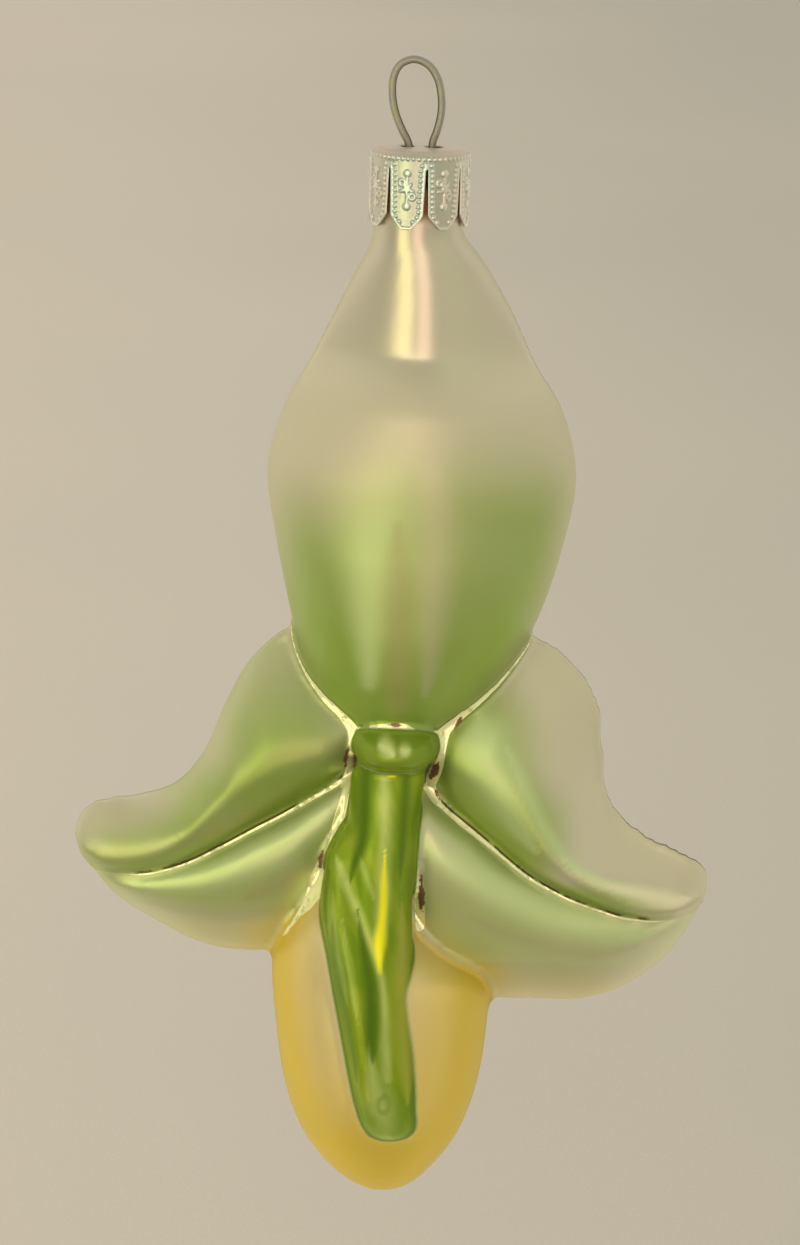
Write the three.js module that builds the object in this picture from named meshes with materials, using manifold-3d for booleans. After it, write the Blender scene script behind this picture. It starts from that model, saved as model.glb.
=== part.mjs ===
// Hanging ornament of blown glass in the form of a slipper orchid flower.
// It is one silvered glass bubble, a stamped crown cap over its open neck, and a bent wire loop.
// Millimetres, +Z up, the stalk's side faces -Y. The origin is the inside top of the wire loop.

import * as THREE from "three";
import { mergeVertices } from "three/addons/utils/BufferGeometryUtils.js";
import Module from "manifold-3d";

const wasm = await Module();
wasm.setup();

// Driving dimensions
const GLASS_WALL = 1;
const CLEARANCE = 0.3; // between two pieces that touch
const AXIS_X = 0.7; // the cap and the neck stand this far beside the loop's top

const WIRE_RADIUS = 0.4;
const LOOP_HALF_WIDTH = 2.85; // to the middle of the wire
const LOOP_WIDEST_Z = -3.9;
const LEG_HALF_GAP = 1.35; // at the cap's two holes
const LEG_LENGTH = 12; // below the cap's top

const CAP_TOP_Z = -9.7;
const CAP_TOP_RADIUS = 5;
const CAP_RADIUS = 5.85;
const CAP_SHEET = 0.4;
const CAP_HEIGHT = 9;
const CAP_LOBES = 8;
const SLIT_WIDTH = 0.45;
const SLIT_TOP = 2; // below the cap's top
const SLIT_TURN = 8.4; // degrees from the front to the nearest slit
const LOBE_CORNER = 1.3; // cut off beside each slit
const LOBE_CORNER_HEIGHT = 1.6;
const HOLE_RADIUS = WIRE_RADIUS + CLEARANCE;

// The pouch's mouth, on the face away from the stalk
const MOUTH_X = -1.2;
const MOUTH_Y = 10.8;
const MOUTH_Z = -89.8;
const MOUTH_TILT = 43; // degrees from level
const MOUTH_RADIUS = 4.3;
const MOUTH_STRETCH = 1.4; // wider than deep
const MOUTH_ROLL = 1.4;
const MOUTH_DEPTH = 3.6;
const SLIPPER_MIDDLE = 5; // the pouch's bulge on that face starts here

const NECK_RADIUS = CAP_RADIUS - CAP_SHEET - CLEARANCE;
const NECK_TOP_Z = CAP_TOP_Z - CAP_SHEET - CLEARANCE;
const NECK_FLARE_Z = -18.8; // the cap's lobes end here
const NECK_FLARE_RADIUS = 5.45;
const NECK_FOOT_Z = -24;

// A closed geometry as a solid. Shared corners are merged first, and a mesh that is inside out is turned.
function solidFrom(geometry) {
  const bare = geometry.index ? geometry.toNonIndexed() : geometry.clone();
  bare.deleteAttribute("normal");
  bare.deleteAttribute("uv");
  const position = bare.getAttribute("position");
  const GRID = 1e4;
  for (let i = 0; i < position.array.length; i += 1) {
    position.array[i] = Math.round(position.array[i] * GRID) / GRID;
  }
  const merged = mergeVertices(bare, 1e-5);
  const vertProperties = new Float32Array(merged.getAttribute("position").array);
  const triVerts = new Uint32Array(merged.index.array);
  const corner = (i) => new THREE.Vector3().fromArray(vertProperties, 3 * triVerts[i]);
  let volume = 0;
  for (let i = 0; i < triVerts.length; i += 3) {
    volume += corner(i).dot(corner(i + 1).cross(corner(i + 2)));
  }
  if (volume < 0) {
    triVerts.reverse();
  }
  return new wasm.Manifold(new wasm.Mesh({ numProp: 3, vertProperties, triVerts }));
}

// A solid as a named mesh of its own material.
function meshFrom(name, solid, look) {
  const { vertProperties, triVerts } = solid.getMesh();
  const geometry = new THREE.BufferGeometry();
  geometry.setAttribute("position", new THREE.BufferAttribute(vertProperties, 3));
  geometry.setIndex(new THREE.BufferAttribute(triVerts, 1));
  const mesh = new THREE.Mesh(geometry, new THREE.MeshStandardMaterial(look));
  mesh.name = name;
  return mesh;
}

const join = (solids) => solids.reduce((sum, solid) => sum.add(solid));

// A puffed lobe. Each station across it is [x and z of one edge, x and z of the other edge,
// height of the front, depth of the back]. The first and the last station close to a point.
// The edges lie in the plane y = middle, and inset shrinks the lobe on every side.
function lobe(stations, { middle = 0, inset = 0, around = 18, along = 15, peak = 0.5 } = {}) {
  const edgeA = [];
  const edgeB = [];
  const swell = [];
  stations.forEach(([ax, az, bx, bz, front, back], i) => {
    const a = new THREE.Vector3(ax, 0, az);
    const b = new THREE.Vector3(bx, 0, bz);
    const across = b.clone().sub(a);
    const step = Math.min(inset, across.length() / 3);
    across.normalize();
    edgeA.push(a.addScaledVector(across, step));
    edgeB.push(b.addScaledVector(across, -step));
    swell.push(new THREE.Vector3(Math.max(front - inset, 0), Math.max(back - inset, 0), 0));
  });
  if (inset > 0) {
    const ends = [[0, 1], [stations.length - 1, stations.length - 2]];
    for (const [end, next] of ends) {
      const inner = edgeA[next].clone().add(edgeB[next]).multiplyScalar(0.5);
      const pull = inner.sub(edgeA[end]);
      pull.setLength(Math.min(inset, pull.length() / 2));
      edgeA[end].add(pull);
      edgeB[end].add(pull);
    }
  }
  const curveA = new THREE.CatmullRomCurve3(edgeA);
  const curveB = new THREE.CatmullRomCurve3(edgeB);
  const curveSwell = new THREE.CatmullRomCurve3(swell);
  const geometry = new THREE.SphereGeometry(1, around, along);
  const position = geometry.getAttribute("position");
  const skew = Math.log(peak) / Math.log(0.5);
  for (let row = 0; row <= along; row += 1) {
    const t = row / along;
    const a = curveA.getPoint(t);
    const b = curveB.getPoint(t);
    const { x: front, y: back } = curveSwell.getPoint(t);
    for (let column = 0; column <= around; column += 1) {
      const turn = (2 * Math.PI * column) / around;
      const share = ((1 - Math.cos(turn)) / 2) ** skew;
      const point = a.clone().lerp(b, share);
      const height = Math.sin(turn);
      point.y = middle - height * Math.max(height > 0 ? front : back, 0);
      position.setXYZ(row * (around + 1) + column, point.x, point.y, point.z);
    }
  }
  return solidFrom(geometry);
}

// Stations that lie level are given as [z, left x, right x, height of the front, depth of the back]
const level = ([z, left, right, front, back]) => [left, z, right, z, front, back];

const SEPAL = [
  [-18.5, 0.7, 0.7, 0, 0],
  [-20, -4, 5.9, 4.9, 4.9],
  [-22, -5.2, 7.9, 6.3, 6.3],
  [-28, -8.2, 11.9, 8.8, 8.6],
  [-34, -11.2, 15.1, 11, 10.6],
  [-40, -14.1, 18.5, 12.8, 12.2],
  [-48, -16.2, 20.6, 14, 13.2],
  [-57, -14.9, 19.3, 13.8, 12.8],
  [-66, -12.9, 16.9, 12.5, 11.4],
  [-72, -11, 14.2, 11, 9.9],
  [-76.5, -8.4, 10.8, 9.2, 8.2],
  [-80, -5, 6.6, 6.6, 6],
  [-82, 0.7, 0.7, 0, 0],
].map(level);

const LEFT_UPPER = [
  [-3.3, -76, -3.3, -76, 0, 0],
  [-8.3, -68, -3.3, -82.5, 6.5, 6],
  [-12.8, -67.8, -6.3, -86.2, 8.5, 7.5],
  [-17.5, -72, -11.3, -90.4, 8.8, 7.8],
  [-20.6, -78, -16.3, -93.9, 8.2, 7.4],
  [-23, -84, -20.8, -96.6, 7.2, 6.5],
  [-26.3, -87.9, -25.3, -98.8, 6, 5.5],
  [-31.3, -89.6, -30.3, -99.9, 4.8, 4.4],
  [-35.8, -90.4, -34.6, -99.2, 3.8, 3.5],
  [-37.9, -92.4, -37.3, -97.2, 2.5, 2.3],
  [-38.4, -94.8, -38.4, -94.8, 0, 0],
];

const LEFT_LOWER = [
  [-2.3, -88, -2.3, -88, 0, 0],
  [-3.3, -82.8, -3.8, -96, 5.5, 5],
  [-7.8, -85.4, -8.3, -104, 7, 6.2],
  [-11.8, -88.6, -13.8, -108.4, 7.4, 6.6],
  [-16.3, -91.8, -18.8, -108.8, 7, 6.4],
  [-20.8, -94.4, -23.3, -107.9, 6.2, 5.8],
  [-25.3, -96.4, -27.8, -105.7, 5.2, 4.8],
  [-30.3, -97.2, -31.8, -103.1, 4, 3.7],
  [-34.9, -97, -34.9, -100.3, 2.5, 2.3],
  [-37.2, -96.5, -37.2, -96.5, 0, 0],
];

const RIGHT_UPPER = [
  [2.7, -78, 2.7, -78, 0, 0],
  [10.7, -68, 2.7, -85.2, 6.5, 6],
  [16.7, -68.2, 7.2, -91.4, 8.5, 7.5],
  [21.4, -71.4, 11.7, -95.2, 8.8, 7.8],
  [24.4, -76, 16.2, -98.5, 8.4, 7.5],
  [25.3, -82, 20.7, -100.8, 7.5, 6.8],
  [26.3, -87.8, 25.2, -102.4, 6.3, 5.8],
  [30.2, -91.8, 29.7, -103.5, 5.1, 4.7],
  [35.1, -94.1, 34.7, -103.2, 4, 3.7],
  [38.1, -95.9, 37.7, -101.5, 2.6, 2.4],
  [38.9, -98.5, 38.9, -98.5, 0, 0],
];

const RIGHT_LOWER = [
  [1.7, -90, 1.7, -90, 0, 0],
  [2.2, -83.8, 2.7, -99, 5.5, 5],
  [5.7, -87, 7.2, -107.5, 7, 6.2],
  [9.7, -90.8, 13.2, -112.6, 7.4, 6.6],
  [14.2, -94.4, 18.7, -113.8, 7, 6.4],
  [18.7, -97.1, 24.2, -113.6, 6.3, 5.8],
  [23.7, -99.1, 29.2, -111.8, 5.4, 5],
  [29.2, -100.6, 33.7, -108.2, 4.2, 3.8],
  [34.2, -100.8, 36.7, -104, 2.7, 2.4],
  [38.4, -100.8, 38.4, -100.8, 0, 0],
];

const POUCH = [
  [-83, -1.3, -1.3, 0, 0],
  [-86, -6, 3.4, 7.6, 6],
  [-92, -8.4, 4.2, 9.6, 8],
  [-98, -10.6, 5.4, 11, 10],
  [-104, -13, 7.8, 11.8, 12],
  [-110, -14, 12.4, 12.4, 13],
  [-117, -13.4, 12.6, 12.4, 13],
  [-125, -12.1, 11.6, 11.6, 12],
  [-131, -9.9, 9.6, 9.8, 10],
  [-135.5, -6.8, 6.8, 7.4, 7.6],
  [-138.3, -3.4, 4, 4.4, 4.6],
  [-139.6, 0.3, 0.3, 0, 0],
].map(level);

const SLIPPER = [
  [-84.5, -1.2, -1.2, 0, 0],
  [-87, -8, 5.6, 4, 6.4],
  [-92, -10, 7.8, 5, 9.4],
  [-99, -11.4, 9.6, 6, 10.9],
  [-108, -11.6, 10.2, 6, 11.2],
  [-117, -10.6, 9.4, 6, 10],
  [-126, -8, 7.2, 5, 7.4],
  [-132, -4.4, 4.4, 4, 4],
  [-134.5, 0, 0, 0, 0],
].map(level);

const STALK_MIDDLE = -8.5;
const STALK = [
  [-81, -1, -1, 0, 0],
  [-83, -4.9, 3.9, 3.8, 3],
  [-89.5, -5.7, 3.2, 4.8, 4],
  [-94, -7.9, 2.9, 5.4, 4],
  [-100.5, -8.7, 3, 5.8, 4],
  [-108.5, -7.5, 2.8, 6, 4],
  [-117, -5.7, 3.5, 5.8, 4],
  [-124, -4, 4.5, 5, 4],
  [-128.6, -2.6, 4, 4, 4],
  [-129.9, 0.6, 0.6, 0, 0],
].map(level);

// The round cushion over the stalk, and the flower's small column over the mouth on the other face
const CUSHION = { x: 0.2, y: -7.5, z: -80.4, width: 10, depth: 5.2, height: 5.4 };
const COLUMN = { x: -0.2, y: 7, z: -81, width: 8.6, depth: 5.6, height: 8.6 };

function roundBoss({ x, y, z, width, depth, height }) {
  const geometry = new THREE.SphereGeometry(1, 16, 10);
  geometry.scale(width / 2, depth, height / 2);
  geometry.translate(x, y, z);
  return solidFrom(geometry);
}

// The mouth looks up and outwards, and has a rolled rim round a shallow hollow
function atMouth(geometry) {
  geometry.rotateX(THREE.MathUtils.degToRad(-MOUTH_TILT));
  geometry.translate(MOUTH_X, MOUTH_Y, MOUTH_Z);
  return solidFrom(geometry);
}

function mouthRim() {
  const geometry = new THREE.TorusGeometry(MOUTH_RADIUS, MOUTH_ROLL, 8, 22);
  geometry.scale(MOUTH_STRETCH, 1, 1);
  return atMouth(geometry);
}

function mouthHollow(grow) {
  const geometry = new THREE.SphereGeometry(1, 18, 10);
  const radius = MOUTH_RADIUS - MOUTH_ROLL / 2 + grow;
  geometry.scale(MOUTH_STRETCH * radius, radius, MOUTH_DEPTH + grow);
  geometry.translate(0, 0, MOUTH_ROLL / 2);
  return atMouth(geometry);
}

// The straight neck that the cap sits on, flared where it runs into the sepal
function neck(inset, top) {
  const profile = [
    [0, top],
    [NECK_RADIUS - inset, top],
    [NECK_RADIUS - inset, NECK_FLARE_Z],
    [NECK_FLARE_RADIUS - inset, NECK_FLARE_Z - 2],
    [NECK_FLARE_RADIUS - inset, NECK_FOOT_Z],
    [0, NECK_FOOT_Z],
  ].map(([r, z]) => new THREE.Vector2(r, z));
  const geometry = new THREE.LatheGeometry(profile, 28);
  geometry.rotateX(Math.PI / 2);
  geometry.translate(AXIS_X, 0, 0);
  return solidFrom(geometry);
}

const UPPER_PEAK = 0.52; // where the petals' lobes stand highest, from the outer edge
const LOWER_PEAK = 0.36; // and from the crease

function glassBody() {
  const outside = join([
    neck(0, NECK_TOP_Z),
    lobe(SEPAL, { around: 28, along: 20 }),
    lobe(LEFT_UPPER, { peak: UPPER_PEAK }),
    lobe(LEFT_LOWER, { peak: LOWER_PEAK }),
    lobe(RIGHT_UPPER, { peak: UPPER_PEAK }),
    lobe(RIGHT_LOWER, { peak: LOWER_PEAK }),
    lobe(POUCH, { around: 24, along: 17 }),
    lobe(SLIPPER, { middle: SLIPPER_MIDDLE, around: 20, along: 13 }),
    lobe(STALK, { middle: STALK_MIDDLE, around: 12, along: 13 }),
    roundBoss(CUSHION),
    roundBoss(COLUMN),
    mouthRim(),
  ]).subtract(mouthHollow(0));
  const inner = { inset: GLASS_WALL, around: 12, along: 11 };
  const inside = join([
    neck(GLASS_WALL, CAP_TOP_Z),
    lobe(SEPAL, { ...inner, around: 18, along: 14 }),
    lobe(LEFT_UPPER, { ...inner, peak: UPPER_PEAK }),
    lobe(LEFT_LOWER, { ...inner, peak: LOWER_PEAK }),
    lobe(RIGHT_UPPER, { ...inner, peak: UPPER_PEAK }),
    lobe(RIGHT_LOWER, { ...inner, peak: LOWER_PEAK }),
    lobe(POUCH, { ...inner, around: 16, along: 12 }),
    lobe(SLIPPER, { ...inner, middle: SLIPPER_MIDDLE, around: 14 }),
  ]).subtract(mouthHollow(GLASS_WALL));
  return outside.subtract(inside);
}

// One slit of the cap's skirt with the corners cut off beside its foot, cut from the front to the back
// of the sheet
function slitCutter(turn) {
  const half = SLIT_WIDTH / 2;
  const foot = -CAP_HEIGHT;
  const cornerTop = foot + LOBE_CORNER_HEIGHT;
  const outline = [
    [-half, -SLIT_TOP],
    [half, -SLIT_TOP],
    [half, cornerTop],
    [LOBE_CORNER, foot],
    [LOBE_CORNER, foot - 1],
    [-LOBE_CORNER, foot - 1],
    [-LOBE_CORNER, foot],
    [-half, cornerTop],
  ].map(([x, z]) => new THREE.Vector2(x, z));
  const geometry = new THREE.ExtrudeGeometry(new THREE.Shape(outline), {
    depth: 2,
    bevelEnabled: false,
  });
  geometry.rotateX(Math.PI / 2);
  geometry.translate(0, 1 - CAP_RADIUS, CAP_TOP_Z);
  geometry.rotateZ(turn);
  geometry.translate(AXIS_X, 0, 0);
  return solidFrom(geometry);
}

function capHole(side) {
  const geometry = new THREE.CylinderGeometry(HOLE_RADIUS, HOLE_RADIUS, 4 * CAP_SHEET, 16);
  geometry.rotateX(Math.PI / 2);
  geometry.translate(AXIS_X + side * LEG_HALF_GAP, 0, CAP_TOP_Z);
  return solidFrom(geometry);
}

function crownCap() {
  const shoulder = CAP_RADIUS - CAP_TOP_RADIUS;
  const outer = [[0, 0], [CAP_TOP_RADIUS, 0]];
  const SHOULDER_STEPS = 3;
  for (let i = 1; i <= SHOULDER_STEPS; i += 1) {
    const turn = (Math.PI / 2) * (i / SHOULDER_STEPS);
    outer.push([CAP_TOP_RADIUS + shoulder * Math.sin(turn), shoulder * (Math.cos(turn) - 1)]);
  }
  outer.push([CAP_RADIUS, -CAP_HEIGHT]);
  const inner = [
    [CAP_RADIUS - CAP_SHEET, -CAP_HEIGHT],
    [CAP_RADIUS - CAP_SHEET, -CAP_SHEET],
    [0, -CAP_SHEET],
  ];
  const profile = [...outer, ...inner].map(([r, z]) => new THREE.Vector2(r, z));
  const geometry = new THREE.LatheGeometry(profile, 48);
  geometry.rotateX(Math.PI / 2);
  geometry.translate(AXIS_X, 0, CAP_TOP_Z);
  const slits = [];
  for (let i = 0; i < CAP_LOBES; i += 1) {
    const turn = THREE.MathUtils.degToRad(SLIT_TURN) + (2 * Math.PI * i) / CAP_LOBES;
    slits.push(slitCutter(turn));
  }
  return solidFrom(geometry).subtract(join([...slits, capHole(-1), capHole(1)]));
}

// One bent wire: an egg-shaped loop above the cap, and two legs that spread against the neck's inside.
// The route is given for the right-hand half, from the loop's top to the leg's end.
function hangerWire() {
  const spread = NECK_RADIUS - GLASS_WALL - CLEARANCE - WIRE_RADIUS;
  const half = [
    [1.6, WIRE_RADIUS - 0.6],
    [2.55, WIRE_RADIUS - 2.1],
    [LOOP_HALF_WIDTH, LOOP_WIDEST_Z],
    [2.65, -5.9],
    [2.05, -7.8],
    [LEG_HALF_GAP + 0.1, CAP_TOP_Z + 0.5],
    [LEG_HALF_GAP, CAP_TOP_Z - CAP_SHEET],
    [LEG_HALF_GAP + 0.5, CAP_TOP_Z - 2.5],
    [spread - 0.3, CAP_TOP_Z - 0.7 * LEG_LENGTH],
    [spread, CAP_TOP_Z - LEG_LENGTH],
  ];
  const place = (side) => ([x, z]) => {
    const lean = AXIS_X * Math.min(z / CAP_TOP_Z, 1);
    return new THREE.Vector3(lean + side * x, 0, z);
  };
  const route = [
    ...half.map(place(-1)).reverse(),
    new THREE.Vector3(0, 0, WIRE_RADIUS),
    ...half.map(place(1)),
  ];
  const section = new THREE.Shape();
  section.absarc(0, 0, WIRE_RADIUS, 0, 2 * Math.PI);
  const geometry = new THREE.ExtrudeGeometry(section, {
    steps: 72,
    curveSegments: 4,
    extrudePath: new THREE.CatmullRomCurve3(route),
  });
  return solidFrom(geometry);
}

const ornament = new THREE.Group();
ornament.add(
  meshFrom("glass_body", glassBody(), { color: 0x9fb763, roughness: 0.35, metalness: 0.6 }),
  meshFrom("crown_cap", crownCap(), { color: 0xb9b6ae, roughness: 0.35, metalness: 1 }),
  meshFrom("wire_hanger", hangerWire(), { color: 0x8c8a80, roughness: 0.4, metalness: 1 }),
);

export default ornament;
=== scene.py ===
import math

import bpy
import numpy as np
from mathutils import Matrix, Vector
from mathutils.bvhtree import BVHTree


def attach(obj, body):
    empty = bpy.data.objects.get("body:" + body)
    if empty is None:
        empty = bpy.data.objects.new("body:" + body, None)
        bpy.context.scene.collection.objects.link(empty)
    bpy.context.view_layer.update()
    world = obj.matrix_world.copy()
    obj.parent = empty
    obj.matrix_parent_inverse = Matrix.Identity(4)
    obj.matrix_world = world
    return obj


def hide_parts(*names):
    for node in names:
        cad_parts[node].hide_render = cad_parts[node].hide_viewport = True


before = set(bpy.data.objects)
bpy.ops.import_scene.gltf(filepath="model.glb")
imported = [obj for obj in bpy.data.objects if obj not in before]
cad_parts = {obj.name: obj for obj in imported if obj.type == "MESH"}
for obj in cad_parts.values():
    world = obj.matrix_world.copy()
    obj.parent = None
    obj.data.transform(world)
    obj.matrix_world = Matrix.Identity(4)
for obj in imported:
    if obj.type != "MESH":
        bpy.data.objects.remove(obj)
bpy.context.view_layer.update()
bpy.ops.object.select_all(action="DESELECT")

# Glass body
# One bubble of thin clear glass, blown hot into a two-part mould that gives it the orchid's sepal, petals,
# cushion, stalk and pouch. It is silvered on the inside through its open neck, and then sprayed outside
# with satin lacquers, which don't reach the bottoms of the creases.
MM = 0.001
AXIS_X = 0.7
GLASS_WALL = 1
NECK_RADIUS = 5.15
NECK_TOP_Z = -10.4
NECK_FLARE_RADIUS = 5.45
NECK_FOOT_Z = -26
BORE_TOP_Z = -9


def level(stations):
    """Stations across a lobe that lie level: z, left x, right x, height of the front, depth of the back.
    The petals' stations slope, so they give x and z on both edges."""
    return [(left, z, right, z, front, back) for z, left, right, front, back in stations]


SEPAL = level([
    (-18.5, 0.7, 0.7, 0, 0),
    (-20, -4, 5.9, 4.9, 4.9),
    (-22, -5.2, 7.9, 5.7, 5.7),
    (-28, -8.2, 11.9, 6.8, 7.2),
    (-33.5, -10.9, 14.8, 7.9, 8.8),
    (-36.5, -12.4, 16.4, 9.9, 10.2),
    (-40, -14.1, 18.5, 12.1, 11.8),
    (-48, -16.2, 20.6, 14, 13.2),
    (-57, -14.9, 19.3, 13.8, 12.8),
    (-66, -12.9, 16.6, 12.5, 11.4),
    (-72, -11.4, 13.4, 11, 9.9),
    (-76.5, -9, 10, 9.2, 8.2),
    (-80, -5.6, 6.3, 6.6, 6),
    (-82, 0.7, 0.7, 0, 0),
])
LEFT_UPPER = [
    (-3.3, -76, -3.3, -76, 0, 0),
    (-8.3, -68, -3.3, -83.3, 6.5, 6),
    (-12.8, -67.8, -6.3, -87.3, 8.5, 7.5),
    (-17.5, -72, -11.3, -91.3, 8.8, 7.8),
    (-20.6, -78, -16.3, -94.4, 8.2, 7.4),
    (-23, -84, -20.8, -97, 7.2, 6.5),
    (-26.3, -87.9, -25.3, -99.5, 6, 5.5),
    (-31.3, -89.6, -30.3, -100.8, 4.8, 4.4),
    (-35.8, -90.4, -34.6, -100.2, 3.8, 3.5),
    (-37.9, -92.4, -37.3, -97.8, 2.5, 2.3),
    (-38.4, -94.8, -38.4, -94.8, 0, 0),
]
LEFT_LOWER = [
    (-2.3, -88, -2.3, -88, 0, 0),
    (-3.3, -83.7, -3.8, -96, 5.5, 5),
    (-7.8, -86.6, -8.3, -104, 7, 6.2),
    (-11.8, -89.5, -13.8, -108.4, 7.4, 6.6),
    (-16.3, -92.2, -18.8, -108.8, 7, 6.4),
    (-20.8, -94.8, -23.3, -107.9, 6.2, 5.8),
    (-25.3, -96.8, -27.8, -105.7, 5.2, 4.8),
    (-30.3, -98.1, -31.8, -103.4, 4, 3.7),
    (-34.7, -98, -34.7, -100.9, 2.5, 2.3),
    (-36.6, -97.9, -36.6, -97.9, 0, 0),
]
RIGHT_UPPER = [
    (2.7, -78, 2.7, -78, 0, 0),
    (10.7, -68, 2.6, -86.2, 6.5, 6),
    (16.7, -68.2, 7, -92.2, 8.5, 7.5),
    (21.4, -71.4, 11.7, -95.6, 8.8, 7.8),
    (24.4, -76, 16.2, -98.8, 8.4, 7.5),
    (25.3, -82, 20.7, -100.8, 7.5, 6.8),
    (26.3, -87.8, 25.2, -102.4, 6.3, 5.8),
    (30.2, -91.8, 29.7, -103.5, 5.1, 4.7),
    (35.1, -94.1, 34.7, -103.2, 4, 3.7),
    (38.1, -95.9, 37.7, -101.5, 2.6, 2.4),
    (38.9, -98.5, 38.9, -98.5, 0, 0),
]
RIGHT_LOWER = [
    (1.7, -90, 1.7, -90, 0, 0),
    (2.1, -84.9, 1.2, -104, 7.5, 5),
    (5.6, -88.2, 4.6, -110.5, 9, 6.2),
    (9.7, -91.2, 11.8, -113.6, 8.4, 6.6),
    (14.2, -94.7, 18.7, -113.8, 7.3, 6.4),
    (18.7, -97.1, 24.2, -113.6, 6.3, 5.8),
    (23.7, -99.1, 29.2, -111.8, 5.4, 5),
    (29.2, -100.6, 33.7, -108.2, 4.2, 3.8),
    (34.2, -100.8, 36.7, -104, 2.7, 2.4),
    (38.4, -100.8, 38.4, -100.8, 0, 0),
]
POUCH = level([
    (-83, -1.3, -1.3, 0, 0),
    (-86, -5.2, 1.5, 7.2, 6),
    (-92, -6.9, 2, 9.2, 8),
    (-98, -8.9, 2.6, 10.8, 10),
    (-102, -11, 3, 11.6, 11.4),
    (-105, -12.8, 5, 11.9, 12.2),
    (-108, -13.7, 8.8, 12.2, 12.8),
    (-110.5, -14, 12.4, 12.4, 13),
    (-117, -13.4, 12.6, 12.4, 13),
    (-125, -12.1, 11.6, 11.6, 12),
    (-131, -9.9, 9.6, 9.8, 10),
    (-135.2, -6.8, 6.8, 7.4, 7.6),
    (-137.9, -3.4, 4, 4.4, 4.6),
    (-139.1, 0.3, 0.3, 0, 0),
])
SLIPPER = level([
    (-84.5, -1.2, -1.2, 0, 0),
    (-87, -8, 5.6, 4, 6.4),
    (-92, -10, 7.8, 5, 9.4),
    (-99, -11.4, 9.6, 6, 10.9),
    (-108, -11.6, 10.2, 6, 11.2),
    (-117, -10.6, 9.4, 6, 10),
    (-126, -8, 7.2, 5, 7.4),
    (-132, -4.4, 4.4, 4, 4),
    (-134.5, 0, 0, 0, 0),
])
STALK = level([
    (-81, -1, -1, 0, 0),
    (-82.6, -4.5, 3.7, 2.9, 3),
    (-85.5, -5, 3.6, 4.3, 3.6),
    (-89.5, -5.1, 3.2, 4.8, 4),
    (-94, -6, 2.9, 5.3, 4),
    (-100.5, -6, 2.9, 5.2, 4),
    (-108.5, -5, 3.4, 5.1, 4),
    (-117, -4, 4.6, 5, 4),
    (-124, -3.3, 4.7, 4.6, 4),
    (-128.2, -2.2, 4.2, 3.6, 4),
    (-129.4, 0.8, 0.8, 0, 0),
])
STALK_FOLD = level([
    (-89.3, -5.2, -5.2, 0, 0),
    (-91.5, -6.2, -4.6, 2.8, 3),
    (-94, -7.3, -4.2, 4, 4),
    (-97, -8, -3.4, 4.9, 4),
    (-101, -8.1, -2.2, 5.6, 4),
    (-106, -7.3, -0.5, 6.2, 4),
    (-112, -6.1, 0.4, 6.3, 4),
    (-118.5, -4.8, 0.8, 6, 4),
    (-124, -3.5, 1, 5.3, 4),
    (-127.6, -2.2, 1.2, 3.8, 3),
    (-129, -0.4, -0.4, 0, 0),
])
LEFT_UPPER_CREST = (0.6, 0.7, 0.67, 0.54, 0.47, 0.44, 0.48, 0.54, 0.6, 0.58, 0.5)
RIGHT_UPPER_CREST = (0.6, 0.64, 0.6, 0.63, 0.7, 0.72, 0.7, 0.71, 0.72, 0.62, 0.5)
LOWER_CREST = (0.24, 0.22, 0.2, 0.2, 0.21, 0.23, 0.26, 0.3, 0.36, 0.5)
STALK_MIDDLE = -8.5
SLIPPER_MIDDLE = 5


def flow(points, share):
    """Where a smooth line through the points is, share of the way along it by stations."""
    points = np.array(points, float)
    points = np.vstack([2 * points[0] - points[1], points, 2 * points[-1] - points[-2]])
    place = np.clip(share, 0, 1) * (len(points) - 3)
    index = np.minimum(place.astype(int), len(points) - 4)
    part = (place - index)[:, None]
    p0, p1, p2, p3 = (points[index + i] for i in range(4))
    gaps = [np.sqrt(np.linalg.norm(b - a, axis=1))[:, None] for a, b in ((p0, p1), (p1, p2), (p2, p3))]
    g1 = np.where(gaps[1] < 1e-4, 1, gaps[1])
    g0 = np.where(gaps[0] < 1e-4, g1, gaps[0])
    g2 = np.where(gaps[2] < 1e-4, g1, gaps[2])
    leave = ((p1 - p0) / g0 - (p2 - p0) / (g0 + g1) + (p2 - p1) / g1) * g1
    arrive = ((p2 - p1) / g1 - (p3 - p1) / (g1 + g2) + (p3 - p2) / g2) * g1
    rise = 3 * (p2 - p1) - 2 * leave - arrive
    turn = 2 * (p1 - p2) + leave + arrive
    return p1 + leave * part + rise * part**2 + turn * part**3


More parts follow.
